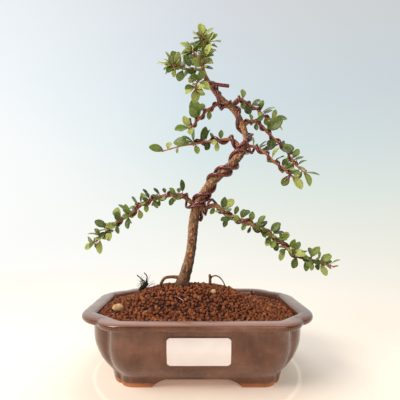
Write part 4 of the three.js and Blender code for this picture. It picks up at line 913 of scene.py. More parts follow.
def cut_feet_and_drains(pot):
    base = OUTER_WALL[0][1]
    half = (POT_HALF_WIDTH - base - FOOT_WIDTH, POT_HALF_DEPTH - base - FOOT_WIDTH)
    cut(pot, *box((-half[0], -half[1], -1), (half[0], half[1], FOOT_HEIGHT)))
    cut(pot, *foot_arch(FRONT_ARCH, POT_HALF_DEPTH, False))
    cut(pot, *foot_arch(SIDE_ARCH, POT_HALF_WIDTH, True))
    for side in (-1, 1):
        drain = [(side * DRAIN_X, 0, 1, DRAIN_RADIUS), (side * DRAIN_X, 0, 2 * FLOOR_TOP, DRAIN_RADIUS)]
        cut(pot, *tube(drain, 40))


def soften_edges(made):
    rounded = made.modifiers.new("soft edges", "BEVEL")
    rounded.limit_method = "ANGLE"
    rounded.angle_limit = math.radians(SOFT_EDGE["angle"])
    rounded.width = SOFT_EDGE["width"] * MM
    rounded.segments = 2
    apply_modifiers(made)
    made.data.shade_smooth()
    made.data.set_sharp_from_angle(angle=math.radians(SOFT_EDGE["angle"]))


def mark_glaze(pot):
    """Where the glaze is thin, where a highlight is painted on top of the lip, and where the glaze is
    missing.
    """
    vertices, normals = vertices_of(pot), normals_of(pot)
    height = vertices[:, 2]
    upper = np.exp(-((height - THIN_LINES["upper"]) / THIN_LINES["width"]) ** 2)
    lower = np.exp(-((height - THIN_LINES["lower"]) / THIN_LINES["width"]) ** 2)
    outwards = np.hypot(normals[:, 0], normals[:, 1])
    store(pot, "wear", np.clip(upper * outwards + lower * THIN_LINES["lower_share"], 0, 1))
    # Painted highlight on the top of the lip, stored as top: upward faces above its top edge, strongest
    # in front
    forward = np.clip((-vertices[:, 1] - PAINTED_LIP_HIGHLIGHT["front"]) / PAINTED_LIP_HIGHLIGHT["fade"], 0, 1)
    share = PAINTED_LIP_HIGHLIGHT["elsewhere"] + (1 - PAINTED_LIP_HIGHLIGHT["elsewhere"]) * forward
    level = np.clip(2 * normals[:, 2] - 0.8, 0, 1) * (height > PAINTED_LIP_HIGHLIGHT["above"])
    store(pot, "top", level * share)
    ragged = BARE_CLAY["height"] + BARE_CLAY["ragged"] * noise_at(vertices, 0.12, 3)
    under = (height < FOOT_HEIGHT + 0.5) & (normals[:, 2] < -0.7)
    store(pot, "bare", np.where(under, 1.0, np.clip(ragged - height, 0, 1)))


def make_pot():
    wall = np.array(OUTER_WALL, float)
    rings = [outer_ring(*row) for row in sample_spline(wall, 0, len(wall) - 1, 4)]
    rings += [outer_ring(*row) for row in LIP]
    rings += [inner_ring(*row) for row in INNER_WALL]
    pot = new_object("pot_shell", *lofted(rings), glaze())
    cut_feet_and_drains(pot)
    soften_edges(pot)
    mark_glaze(pot)
    stands_for(pot, "pot")


# Soil

def soil_height(x, y):
    along = (np.abs(x - MOUND["x"]) / MOUND["spreadX"]) ** MOUND["powerX"]
    deep = (np.abs(y - MOUND["y"]) / MOUND["spreadY"]) ** MOUND["powerY"]
    backwards = 0.5 + y / (2 * POT_HALF_DEPTH)
    edge = SOIL_EDGE["front"] + (SOIL_EDGE["back"] - SOIL_EDGE["front"]) * backwards
    return edge + MOUND["rise"] * np.exp(-along - deep)


def make_soil_bed():
    """The mass of fine soil that the grains lie on."""
    *rings, rim = [inner_ring(height, inset, BED_CLEARANCE) for height, inset in BED_WALL]
    for share in (1, 0.97, 0.93, *np.arange(0.88, 0.03, -0.05)):
        x, y = rim[:, 0] * share, rim[:, 1] * share
        rings.append(np.column_stack([x, y, soil_height(x, y) - BED_UNDER_GRAINS]))
    material = matt("fine_soil", "2c140c", "4a2416", 0.6, 0.95, 0.6)
    stands_for(new_object("soil_bed", *lofted(rings), material), "soil")


def icosphere(subdivisions):
    """Unit ball of triangles; each subdivision splits every triangle into four."""
    g = (1 + 5 ** 0.5) / 2
    points = [(-1, g, 0), (1, g, 0), (-1, -g, 0), (1, -g, 0), (0, -1, g), (0, 1, g), (0, -1, -g),
              (0, 1, -g), (g, 0, -1), (g, 0, 1), (-g, 0, -1), (-g, 0, 1)]
    faces = [(0, 11, 5), (0, 5, 1), (0, 1, 7), (0, 7, 10), (0, 10, 11), (1, 5, 9), (5, 11, 4),
             (11, 10, 2), (10, 7, 6), (7, 1, 8), (3, 9, 4), (3, 4, 2), (3, 2, 6), (3, 6, 8),
             (3, 8, 9), (4, 9, 5), (2, 4, 11), (6, 2, 10), (8, 6, 7), (9, 8, 1)]
    points = [unit(np.array(p, float)) for p in points]
    for _ in range(subdivisions):
        middles, split = {}, []

        def middle(a, b):
            key = (min(a, b), max(a, b))
            if key not in middles:
                points.append(unit(points[a] + points[b]))
                middles[key] = len(points) - 1
            return middles[key]
        for a, b, c in faces:
            ab, bc, ca = middle(a, b), middle(b, c), middle(c, a)
            split += [(a, ab, ca), (b, bc, ab), (c, ca, bc), (ab, bc, ca)]
        faces = split
    return np.array(points), faces


def lump(random, subdivisions):
    """An irregular rounded grain of unit size."""
    points, faces = icosphere(subdivisions)
    rough = 1 + GRAIN_FORM["lumps"] * noise_at(points, 1.5, random.uniform(0, 50))
    rough += GRAIN_FORM["dents"] * random.uniform(-1, 1, len(points))
    return points * rough[:, None] * random.uniform(*GRAIN_FORM["stretch"], 3), faces


def turned(points, random):
    """The points turned to a random attitude."""
    w, x, y, z = unit(random.normal(size=4))
    turn = np.array([
        [1 - 2 * (y * y + z * z), 2 * (x * y - w * z), 2 * (x * z + w * y)],
        [2 * (x * y + w * z), 1 - 2 * (x * x + z * z), 2 * (y * z - w * x)],
        [2 * (x * z - w * y), 2 * (y * z + w * x), 1 - 2 * (x * x + y * y)],
    ])
    return points @ turn.T


def inside(x, y, ring):
    """How far a point lies inside the ring, which is convex, from its nearest side."""
    along = np.roll(ring, -1, axis=0) - ring
    length = np.hypot(along[:, 0], along[:, 1])
    keep = length > 1e-6
    ring, along = ring[keep], along[keep] / length[keep, None]
    return (along[:, 0] * (y - ring[:, 1]) - along[:, 1] * (x - ring[:, 0])).min()


def crowded(x, y, r, cells):
    """Whether a grain laid earlier, in this cell or one beside it, is too close."""
    column, row = int(x // GRAIN_CELL), int(y // GRAIN_CELL)
    for i in (column - 1, column, column + 1):
        for j in (row - 1, row, row + 1):
            for gx, gy, gr in cells.get((i, j), ()):
                if (gx - x) ** 2 + (gy - y) ** 2 < (GRAIN_FIT["apart"] * (gr + r)) ** 2:
                    return True
    return False


def scatter_grains(obstacles):
    """Places and radii of grains: large ones first, then smaller ones in what room is left."""
    random = np.random.RandomState(4)
    rim = inner_ring(*GRAIN_RIM.values())[:, :2]
    cells, laid = {}, []
    for smallest, largest, tries in GRAIN_SIZES:
        radii = random.uniform(smallest, largest, tries)
        xs = random.uniform(*GRAIN_FIELD["x"], tries)
        ys = random.uniform(*GRAIN_FIELD["y"], tries)
        for r, x, y in zip(radii, xs, ys):
            if inside(x, y, rim) < GRAIN_FIT["wall"] * r or crowded(x, y, r, cells):
                continue
            z = soil_height(x, y) - GRAIN_FIT["sunk"] * r + random.uniform(*GRAIN_FIT["uneven"])
            z -= SMALL_GRAIN_SUNK * (r < SMALL_GRAIN)
            gap = np.linalg.norm(obstacles[:, :3] - (x, y, z), axis=1) - obstacles[:, 3] - r
            if gap.min() < -GRAIN_FIT["press"]:
                continue
            cell = (int(x // GRAIN_CELL), int(y // GRAIN_CELL))
            cells.setdefault(cell, []).append((x, y, r))
            laid.append((x, y, z, r))
    return laid, random


def make_grains(obstacles):
    laid, random = scatter_grains(obstacles)
    fine = [lump(random, 1) for _ in range(GRAIN_SHAPES["fine"])]
    rough = [lump(random, 0) for _ in range(GRAIN_SHAPES["rough"])]
    parts, tints = [], []
    for x, y, z, r in laid:
        shapes = rough if r < SMALL_GRAIN else fine
        points, faces = shapes[random.randint(0, len(shapes))]
        points = turned(points, random) * r + (x, y, z)
        parts.append((points, faces))
        tint = random.normal(GRAIN_TONE["middle"], GRAIN_TONE["spread"])
        tint += GRAIN_TONE["small"] * (r < SMALL_GRAIN) + GRAIN_TONE["large"] * (r > LARGE_GRAIN)
        tints.append(np.full(len(points), np.clip(tint, 0, 1)))
    made = new_object("soil_grains", *gathered(parts), grains(), 40)
    store(made, "tint", np.concatenate(tints))
    stands_for(made, "soil")


STONES = {
    "stone_large": ((-65.8, -30, 57.5), (4.8, 3.6, 3.2), 5),
    "stone_small": ((13.9, -20, 68.6), (2.4, 2.2, 2.1), 9),
}


def make_stones():
    material = matt("pebble", "a9824f", "d6b98c", 0.35, 0.75, 0.3)
    for name, (at, size, seed) in STONES.items():
        points, faces = icosphere(3)
        rough = 1 + 0.12 * noise_at(points, 0.9, seed) + 0.04 * noise_at(points, 3, seed)
        points = points * rough[:, None] * size + at
        stands_for(new_object(name + "_skin", points, faces, material), name)


# Wood

GUIDE_SPACING = 1.2
# Buttresses at the foot of the trunk: where they meet the soil, and their lean to the right
FLARES = [(-20.5, 3, -0.6), (-8.5, 5, 0.4), (-16, -6, -0.2), (-8, -4.5, 0.5)]
FLARE_X = -14
# Wood up to this radius counts as young, and as old bark when it is this much thicker
YOUNG_RADIUS = 1.2
OLD_BY = 2.2
# Relief of the bark: ridges along the trunk, finer ones, and rings round it
BARK_RELIEF = {"ridges": 0.3, "fine": 0.16, "rings": 0.22}
# Painted light and shade on the bark: how much paler the side facing the light is, and how much darker
# the side away from it
BARK_LIGHT = {"painted_light_side": 0.5, "painted_shade_side": 0.85}
# Bark darker near the soil: share and height of the dark foot, and of the darker stretch above it
DARK_FOOT = (0.65, 8.0)
DARK_STRETCH = (0.22, 50.0)


def limb_balls(rows):
    return resample(sample_spline(rows, 0, len(rows) - 1, 12), GUIDE_SPACING)


def wood_rows(rows, start, end, step):
    """Rows along a limb, a fixed step apart, its radius a little uneven."""
    line = resample(sample_spline(rows, start, end, 12), step)
    line[:, 3] *= 1 + 0.06 * noise_at(line[:, :3], 0.25, 2) + 0.04 * noise_at(line[:, :3], 0.7, 6)
    return line


def nearest_radius(points, balls):
    tree = kdtree.KDTree(len(balls))
    for i, ball in enumerate(balls):
        tree.insert(ball[:3], i)
    tree.balance()
    return np.array([balls[tree.find(p)[1], 3] for p in points])


def knot_relief(points):
    """Rim and hollow of each scar, and how scarred the bark is there."""
    relief, scar = np.zeros(len(points)), np.zeros(len(points))
    for x, y, z, radius, rim, hollow in KNOTS:
        away = np.linalg.norm(points - (x, y, z), axis=1) / radius
        swelling = rim * np.exp(-((away - (0.75 if hollow else 0)) / 0.45) ** 2)
        relief += swelling - hollow * np.exp(-(away / 0.4) ** 2)
        scar = np.maximum(scar, (0.35 + 0.7 * hollow) * np.exp(-(away / 0.85) ** 4))
    return relief, scar


def bark_relief(points):
    stretched = points * (1, 1, 0.35)
    relief = BARK_RELIEF["ridges"] * noise_at(stretched, 0.5, 1)
    relief += BARK_RELIEF["fine"] * noise_at(stretched, 1.3, 8)
    return relief + BARK_RELIEF["rings"] * noise_at(points * (0.25, 0.25, 0.9), 1.0, 21)


def trunk_parts():
    """Tubes for the trunk, the bare starts of its branches, its roots and its buttresses."""
    parts = [tube(wood_rows(LIMBS["trunk"], 0, BARE_END["trunk"] + 0.1, 0.8), 28)]
    for limb, end in BARE_END.items():
        if limb != "trunk":
            parts.append(tube(wood_rows(LIMBS[limb], 0, end + 0.05, 0.7), 18))
    for rows in ROOTS.values():
        parts.append(tube(wood_rows(rows, 0, len(rows) - 1, 0.8), 16))
    for x, y, lean in FLARES:
        high = (FLARE_X + (x - FLARE_X) * 0.35, y * 0.35, 76, 2.6)
        low = (x + 6 * lean, 1.6 * y, 60, 2.2)
        flare = np.array([high, (x, y, 66, 3), low], float)
        parts.append(tube(wood_rows(flare, 0, 2, 0.8), 14))
    return parts


def mark_bark(trunk, points, normals):
    """Painted light on the side of the bark that faces the light, painted shade on the other side, and
    bark darker near the soil.
    """
    facing = normals[:, 0] + 0.35 * noise_at(points, 0.12, 5)
    store(trunk, "painted_light_side", BARK_LIGHT["painted_light_side"] * np.clip(-facing - 0.15, 0, 0.8))
    store(trunk, "painted_shade_side", BARK_LIGHT["painted_shade_side"] * np.clip(facing - 0.1, 0, 0.8))
    above = points[:, 2] - soil_height(points[:, 0], points[:, 1])
    dark_near_soil = sum(share * np.clip(1 - above / reach, 0, 1) for share, reach in (DARK_FOOT, DARK_STRETCH))
    store(trunk, "dark_near_soil", dark_near_soil)


def make_trunk(all_balls, material):
    trunk = remeshed(new_object("trunk_wood", *gathered(trunk_parts()), material), 0.5)
    smooth_vertices(trunk, 4, 0.5)
    points, normals = vertices_of(trunk), normals_of(trunk)
    age = np.clip((nearest_radius(points, all_balls) - YOUNG_RADIUS) / OLD_BY, 0, 1)
    relief, scar = knot_relief(points)
    relief += age * bark_relief(points)
    move_vertices(trunk, points + normals * relief[:, None])
    store(trunk, "age", age)
    store(trunk, "scar", scar)
    mark_bark(trunk, points, normals)
    stands_for(trunk, "trunk")


# Wires

GUIDE_SMOOTHING = 15
TIGHTENING = {"rounds": 90, "pull": 0.3, "settle": 12, "last_pull": 0.04}
WIRE_PINCH = (0.82, 0.96)


def smooth_line(points, rounds, pull):
    for _ in range(rounds):
        middle = points[1:-1] + pull * ((points[:-2] + points[2:]) / 2 - points[1:-1])
        points = np.vstack([points[:1], middle, points[-1:]])
    return points


def nearest_ball(points, balls, reach):
    """Depth in, and direction away from, the ball that each point lies deepest in."""
    gaps = points[:, None, :] - balls[None, :, :3]
    distance = np.linalg.norm(gaps, axis=2)
    depth = balls[None, :, 3] + reach - distance
    deepest = depth.argmax(axis=1)
    rows = np.arange(len(points))
    away = gaps[rows, deepest] / distance[rows, deepest][:, None]
    return depth[rows, deepest], away


def pushed_out(points, wood, wires, reach):
    depth, away = nearest_ball(points, wood, reach)
    points = points + away * np.maximum(depth, 0)[:, None]
    if len(wires):
        depth, _ = nearest_ball(points, wires, reach)
        points = points + away * np.maximum(depth, 0)[:, None]
    return points


def wire_line(wire, wood, wires):
    guide = []
    for limb, start, end, pitch, hand in wire["route"]:
        rows = sample_spline(LIMBS[limb], start, end, 12)
        guide.append(np.column_stack([rows, np.full(len(rows), hand / pitch)]))
    line = smooth_line(resample(np.vstack(guide), GUIDE_SPACING), GUIDE_SMOOTHING, 0.5)
    directions = tangents(line)
    sideways = side_vectors(directions)
    upwards = np.cross(directions, sideways)
    steps = np.linalg.norm(np.diff(line[:, :3], axis=0), axis=1)
    turns = np.concatenate([[0], np.cumsum(line[1:, 4] * steps)])
    angles = math.radians(wire["phase"]) + 2 * np.pi * turns
    out = sideways * np.cos(angles)[:, None] + upwards * np.sin(angles)[:, None]
    points = line[:, :3] + out * (line[:, 3:4] + wire["radius"] + WIRE_GAP)
    points = np.vstack([*wire.get("head", []), points, *wire.get("tail", [])])
    points = resample(points, GUIDE_SPACING)
    reach = wire["radius"] + WIRE_GAP
    for step in range(TIGHTENING["rounds"]):
        settling = step >= TIGHTENING["rounds"] - TIGHTENING["settle"]
        pull = TIGHTENING["last_pull"] if settling else TIGHTENING["pull"]
        points = pushed_out(smooth_line(points, 1, pull), wood, wires, reach)
    return points


def drawn_close(line, radius, wood):
    """The wire's line let down onto the wood, as far as the solids' clearance kept it off."""
    depth, away = nearest_ball(line, wood, radius + WIRE_REST)
    line = line - away * np.clip(-depth, 0, WIRE_GAP - WIRE_REST)[:, None]
    return smooth_line(sample_spline(line, 0, len(line) - 1, 2), 4, 0.5)


def cut_wire(line, radius, sides):
    """A round wire whose cut ends are slightly pinched."""
    rows = resample(np.column_stack([line, np.full(len(line), radius)]), 0.8)
    rows[:2, 3] *= WIRE_PINCH
    rows[-2:, 3] *= WIRE_PINCH[::-1]
    return tube(rows, sides)


def make_wires(wood):
    material = anodised_wire()
    wire_balls = np.empty((0, 4))
    for name, wire in WIRES.items():
        line = wire_line(wire, wood, wire_balls)
        balls = np.column_stack([line, np.full(len(line), wire["radius"])])
        wire_balls = np.vstack([wire_balls, balls])
        close = drawn_close(line, wire["radius"], wood)
        made = new_object(name + "_round", *cut_wire(close, wire["radius"], 16), material, 50)
        stands_for(made, name)
    tie = sample_spline(np.array(ANCHOR_TIE, float), 0, len(ANCHOR_TIE) - 1, 10)
    anchor = new_object("anchor_wire_round", *cut_wire(tie, ANCHOR_WIRE_RADIUS, 14), material, 50)
    stands_for(anchor, "anchor_wire")
    return wire_balls


# Leaves

LEAF_OUTLINE = {"belly": 1.25, "fullness": 0.6}
BLADE_PROBES = np.array([
    (0.26, -1), (0.26, 1), (0.5, -1), (0.5, 0), (0.5, 1), (0.76, -1), (0.76, 0), (0.76, 1),
    (0.92, -0.8), (0.92, 0.8), (1, 0),
])
STALK_PROBES = np.array([(0.1, 0), (0.18, 0)])
PROBE_RADIUS = 0.5
LEAF_BALL_RADIUS = 0.9
GOLDEN_ANGLE = 137.5
LEAF_TRIES = 24
ROOM_WANTED = 0.5
BASE_STEP = 1.7
REACH_SHARE = 0.5
ROOT_DEPTH = 1.0
OPEN_STEP = 11
AIM_STEP = 6
END_DEPTH = 1.2
TURN_STEP = 47
SLIDE_STEP = 0.7
LIGHT = np.array([0, -0.7, 0.45])
FORWARD_TILT = 0.6
FACING_JITTER = 0.9
LEAF_RANGE = {
    "length": (0.82, 1.15), "width": (0.54, 0.74), "open": (32, 60), "fold": (0.2, 0.6),
    "droop": (0.08, 0.2),
}


def within(name, draw):
    low, high = LEAF_RANGE[name]
    return low + (high - low) * draw


def leaf_points(leaf, s, t):
    """Points of the leaf that the solids place, s along it and t across it."""
    swell = np.maximum(0, np.sin(np.pi * s ** LEAF_OUTLINE["belly"]))
    half = leaf["width"] / 2 * swell ** LEAF_OUTLINE["fullness"] * t
    lift = leaf["fold"] * np.abs(half) - leaf["droop"] * leaf["length"] * s * s
    return (leaf["base"] + leaf["along"] * (leaf["length"] * s)[:, None]
            + leaf["side"] * half[:, None] + leaf["normal"] * lift[:, None])


def room_around(leaf, probes, balls):
    points = leaf_points(leaf, probes[:, 0], probes[:, 1])
    distance = np.linalg.norm(points[:, None, :] - balls[None, :, :3], axis=2) - balls[None, :, 3]
    return distance.min() - PROBE_RADIUS


def leaf_try(tuft, k, attempt, draws):
    """The k-th leaf of a tuft, turned, opened and slid a little further at each attempt."""
    shift = (-k if tuft["at_end"] else k - (tuft["leaves"] - 1) / 2) * BASE_STEP
    shift += (attempt % 5) * SLIDE_STEP * (-1 if attempt % 2 else 1)
    row = spline_at(tuft["rows"], min(tuft["u"] + shift / tuft["spacing"], tuft["last"]))
    turn = math.radians(tuft["turn"] + GOLDEN_ANGLE * k + TURN_STEP * attempt)
    opened = AIM_STEP * (attempt % 4)
    if k > 0:
        opened = within("open", draws[0]) + OPEN_STEP * (attempt % 4)
    opened = math.radians(opened)
    around = tuft["side"] * math.cos(turn) + tuft["up"] * math.sin(turn)
    along = unit(tuft["direction"] * math.cos(opened) + around * math.sin(opened))
    jitter = (np.array(draws[1:4]) - 0.5) * FACING_JITTER
    normal = across(tuft["direction"] * FORWARD_TILT + LIGHT + jitter, along)
    blade = tuft["blade"] * within("length", draws[4])
    return {
        "along": along, "normal": normal, "side": np.cross(along, normal),
        "length": blade + tuft["reach"], "width": blade * within("width", draws[5]),
        "fold": within("fold", draws[6]), "droop": within("droop", draws[0]),
        "base": row[:3] + along * max(0, row[3] - ROOT_DEPTH),
        "stalk": tuft["reach"] / (blade + tuft["reach"]), "draws": draws,
    }


def leaf_on_tuft(tuft, k, random, obstacles, wires):
    """The first try that has room around it, or else the one with the most."""
    draws = [random() for _ in range(7)]
    best = None
    for attempt in range(LEAF_TRIES):
        leaf = leaf_try(tuft, k, attempt, draws)
        room = min(room_around(leaf, BLADE_PROBES, obstacles),
                   room_around(leaf, STALK_PROBES, wires), ROOM_WANTED)
        if best is None or room > best[0]:
            best = (room, leaf)
        if room >= ROOM_WANTED:
            break
    return best[1]


def leaves_of(limb, tufts, obstacles, wires, seed):
    """The leaves of a limb, and the obstacles with those leaves added."""
    rows, leaves = LIMBS[limb], []
    last = len(rows) - 1
    for number, (u, angle, towards, reach, count, blade) in enumerate(tufts):
        random = Draws(seed * 1000 + number)
        a, b = math.radians(angle), math.radians(towards)
        direction = np.array([math.cos(a) * math.cos(b), -math.sin(b), math.sin(a) * math.cos(b)])
        side = unit(np.cross(direction, (0, 1, 0) if abs(direction[1]) < 0.8 else (0, 0, 1)))
        tuft = {
            "rows": rows, "u": u, "leaves": count, "blade": blade, "direction": direction,
            "side": side, "reach": reach * REACH_SHARE, "up": np.cross(direction, side),
            "spacing": row_spacing(rows, u), "last": last - END_DEPTH / row_spacing(rows, last),
            "at_end": u > last - 0.3, "turn": 360 * random(),
        }
        for k in range(count):
            leaf = leaf_on_tuft(tuft, k, random, obstacles, wires)
            leaf["young"] = max(0.0, 1 - (last - u) / 3)
            leaves.append(leaf)
            points = leaf_points(leaf, BLADE_PROBES[:, 0], BLADE_PROBES[:, 1])
            balls = np.column_stack([points, np.full(len(points), LEAF_BALL_RADIUS)])
            obstacles = np.vstack([obstacles, balls])
    return leaves, obstacles


# Leaves too small for the solids: how many stand by each tuft of a limb, degrees round and mm
# along from it, towards the viewer, and their size as a share of the tuft's
SMALL_LEAVES = {
    "number": {
        "trunk": 4, "apex_left": 1, "apex_back": 3, "apex_low": 2, "apex_top": 1,
        "lower_left": 1, "lower_right": 1,
    },
    "turn": 95, "towards": 50, "step": 1.6, "size": 0.66,
}
# New shoots, orange-brown and still folded: how many stand along the end of a limb
SHOOTS = {"apex_left": 12, "apex_top": 5, "apex_low": 3, "right_middle": 3, "lower_right": 5}
SHOOT_STRETCH = {"bud": 1.7, "shoot": 3.6}
END_BUDS = (0.75, 0.6)
TWIG_SIDES = 12
# How far a twig reaches back into the trunk's part of its limb, in rows
TWIG_OVERLAP = 0.25
TWIG_NODE = {"swell": 0.3, "reach": 1.1}
TWIG_AGE = {"young": 0.7, "range": 1.1}
LEAF_TONE = {"low": 1.1, "high": 1.3, "young": 0.35}
STATIONS = np.array([0, 0.05, 0.12, 0.22, 0.34, 0.46, 0.58, 0.7, 0.8, 0.88, 0.94, 0.98, 1])
ACROSS = np.array([-1, -0.75, -0.45, -0.12, 0.12, 0.45, 0.75, 1])
BLADE_THICKNESS = 0.22
# Form of a blade: how far its widest place and its length-wise curl vary from leaf to leaf, how
# soft the fold on the rib is, and the heights of its rolled edge and its wave, in mm
BLADE_FORM = {
    "belly": 1.1, "belly_range": 0.35, "fullness": 0.62, "neck": 0.03, "soft_fold": 0.4,
    "rolled_edge": 0.1, "wave": 0.3, "curl": 0.12, "thin_rim": 0.7,
}


def blade_lift(leaf, v, t, half, s):
    """Height of a blade over its flat plane, v along it from its foot and t across it."""
    draws, form = leaf["draws"], BLADE_FORM
    lift = leaf["fold"] * (np.sqrt(half ** 2 + form["soft_fold"] ** 2) - form["soft_fold"])
    lift -= form["rolled_edge"] * np.abs(t) ** 3 * np.abs(half)
    lift += form["wave"] * (draws[2] - 0.5) * np.sin(6 * v + 2.5 * t) * np.abs(t)
    lift -= leaf["droop"] * leaf["length"] * s * s
    return lift + leaf["length"] * form["curl"] * (draws[1] - 0.6) * v ** 3


def blade_mesh(leaf):
    """A thin closed blade, folded on its rib, with its edges rolled and a soft wave."""
    v, t = np.meshgrid(STATIONS, ACROSS, indexing="ij")
    foot = leaf["stalk"] * 0.8
    s = foot + (1 - foot) * v
    belly = BLADE_FORM["belly"] + BLADE_FORM["belly_range"] * leaf["draws"][3]
    swell = np.sin(np.pi * np.clip(v, 0, 1) ** belly) ** BLADE_FORM["fullness"]
    half = leaf["width"] / 2 * np.maximum(swell, BLADE_FORM["neck"]) * t
    lift = blade_lift(leaf, v, t, half, s)
    points = (leaf["base"] + leaf["along"] * (leaf["length"] * s)[..., None]
              + leaf["side"] * half[..., None] + leaf["normal"] * lift[..., None])
    rim = 1 - np.abs(t) ** 4 * BLADE_FORM["thin_rim"]
    thickness = BLADE_THICKNESS * rim * np.clip(8 * (1 - v) + 0.2, 0.2, 1)
    below = points - leaf["normal"] * thickness[..., None]
    vertices = np.vstack([points.reshape(-1, 3), below.reshape(-1, 3)])
    uv = np.column_stack([t.ravel() / 2 + 0.5, v.ravel()])
    under = np.repeat([0.0, 1.0], v.size)
    return vertices, sheet_faces(*v.shape), np.vstack([uv, uv]), under


def stalk_mesh(leaf):
    """The leaf stalk, from inside the twig to the foot of the blade."""
    s = np.linspace(0, max(leaf["stalk"], 0.1) * 1.15, 6)
    line = leaf_points(leaf, s, np.zeros(6)) - leaf["normal"] * 0.15
    radius = np.linspace(0.42, 0.3, 6)
    return tube(np.column_stack([line, radius]), 6)


def make_foliage(node, leaves, material):
    """All the leaves of one spray."""
    random = np.random.RandomState(len(leaves))
    parts, uvs, unders, tints, stalks = [], [], [], [], []
    for leaf in leaves:
        vertices, faces, uv, under = blade_mesh(leaf)
        tone = random.beta(LEAF_TONE["low"], LEAF_TONE["high"])
        tint = np.clip(tone + LEAF_TONE["young"] * leaf["young"], 0, 1)
        stalk_vertices, stalk_faces = stalk_mesh(leaf)
        parts += [(vertices, faces), (stalk_vertices, stalk_faces)]
        extra = len(stalk_vertices)
        uvs += [uv, np.full((extra, 2), 0.3)]
        unders += [under, np.zeros(extra)]
        tints.append(np.full(len(vertices) + extra, tint))
        stalks += [np.zeros(len(vertices)), np.ones(extra)]
    made = new_object(node.replace("leaves", "blades"), *gathered(parts), material)
    store(made, "tint", np.concatenate(tints))
    store(made, "under", np.concatenate(unders))
    store(made, "stalk", np.concatenate(stalks))
    layer = made.data.uv_layers.new(name="UVMap")
    corners = np.empty(len(made.data.loops), int)
    made.data.loops.foreach_get("vertex_index", corners)
    layer.data.foreach_set("uv", np.vstack(uvs)[corners].ravel())
    stands_for(made, node)


def bud(at, along, size, random, kind):
    """A small pointed bud or new shoot."""
    points, faces = icosphere(1)
    along = unit(np.asarray(along, float))
    side = unit(np.cross(along, random.normal(size=3)))
    up = np.cross(along, side)
    stretch = points[:, 2:3] * SHOOT_STRETCH[kind]
    points = points[:, :1] * side + points[:, 1:2] * up + stretch * along
    return points * size + at, faces


def twig_line(limb):
    """Rows along the leafy stretch of a limb, thicker where tufts stand."""
    rows, start = LIMBS[limb], BARE_END.get(limb, 0)
    line = wood_rows(rows, max(0, start - TWIG_OVERLAP), len(rows) - 1, 0.7)
    for place in {round(tuft[0], 2) for tuft in TUFTS[limb]}:
        at = spline_at(rows, min(place, len(rows) - 1))[:3]
        away = np.linalg.norm(line[:, :3] - at, axis=1)
        line[:, 3] += TWIG_NODE["swell"] * np.exp(-(away / TWIG_NODE["reach"]) ** 2)
    if start:
        line[0, 3] *= 0.85
    return line


def make_twigs(node, limbs, leaves, material):
    """The branches of one spray, with new shoots on them and buds in the leaves' axils."""
    random = np.random.RandomState(7 + len(leaves))
    parts, ages = [], []

    def add_bud(at, along, size, kind="bud"):
        parts.append(bud(at, along, size, random, kind))
        ages.append(np.zeros(len(parts[-1][0])))

    for limb in limbs:
        rows, line = LIMBS[limb], twig_line(limb)
        parts.append(tube(line, TWIG_SIDES, round_ends=True))
        age = np.clip((line[:, 3] - TWIG_AGE["young"]) / TWIG_AGE["range"], 0, 1)
        ages.append(np.concatenate([np.repeat(age, TWIG_SIDES), age[[0, -1]]]))
        ahead = unit(rows[-1, :3] - rows[-2, :3])
        for size in END_BUDS:
            add_bud(rows[-1, :3] + ahead * 0.6, ahead + 0.5 * random.normal(size=3), size)
        for k in range(SHOOTS.get(limb, 0)):
            u = (len(rows) - 1) * (1 - 0.45 * k / SHOOTS[limb])
            aim = ahead + (0, -0.5, 0.3) + 0.8 * random.normal(size=3)
            at = spline_at(rows, u)[:3] + 2.2 * unit(aim)
            add_bud(at, aim, random.uniform(0.6, 0.9), "shoot")
    for leaf in leaves[::2]:
        along = leaf["along"] + 0.6 * random.normal(size=3)
        add_bud(leaf["base"] + leaf["along"] * 0.9, along, random.uniform(0.45, 0.7))
    made = new_object(node.replace("leaves", "twigs"), *gathered(parts), material)
    store(made, "age", np.concatenate(ages))
    stands_for(made, node)


def small_tufts(limb):
    """Smaller leaves beside each tuft, on its other sides."""
    number = SMALL_LEAVES["number"].get(limb)
    if not number:
        return []
    last = len(LIMBS[limb]) - 1
    tufts = []
    for u, angle, towards, reach, count, blade in TUFTS[limb]:
        place = min(u + SMALL_LEAVES["step"] / row_spacing(LIMBS[limb], u), last)
        towards = (towards + SMALL_LEAVES["towards"]) / 2
        blade *= SMALL_LEAVES["size"]
        tufts.append((place, angle + SMALL_LEAVES["turn"], towards, 0.6 * reach, number, blade))
    return tufts


def make_sprays(wood, wires):
    leaf_material, twig_material = leaf(), twig()
    obstacles = np.vstack([wood, wires])
    sprays = {node: [] for node in SPRAYS}
    seed = 1
    for tufts_of in (TUFTS.get, small_tufts):
        for node, limbs in SPRAYS.items():
            for limb in limbs:
                grown, obstacles = leaves_of(limb, tufts_of(limb), obstacles, wires, seed)
                sprays[node] += grown
                seed += 1
    for node, leaves in sprays.items():
        make_foliage(node, leaves, leaf_material)
        make_twigs(node, SPRAYS[node], leaves, twig_material)


# Small pieces

def wall_inset(height):
    heights, insets = np.array([row[:2] for row in OUTER_WALL], float).T
    return np.interp(height, heights, insets)


def make_label():
    """A blank paper label with rounded corners that follows the bulge of the wall."""
    columns, rows = 25, 13
    corner, low, high = LABEL["corner"], LABEL["low"], LABEL["high"]
    points = []
    for lift in (LABEL["thickness"], 0):
        for height in np.linspace(high, low, rows):
            missing = corner - min(high - height, height - low, corner)
            drawn_in = corner - math.sqrt(corner ** 2 - missing ** 2)
            y = -(POT_HALF_DEPTH - wall_inset(height)) - WALL_GAP - lift
            for share in np.linspace(-1, 1, columns):
                points.append((LABEL["x"] + share * (LABEL["halfWidth"] - drawn_in), y, height))
    material = matt("label_paper", "e4dfdf", "ece8e8", 0.05, 0.55, 0.02)
    faces = sheet_faces(rows, columns)
    stands_for(new_object("label_paper", np.array(points), faces, material, 50), "label")


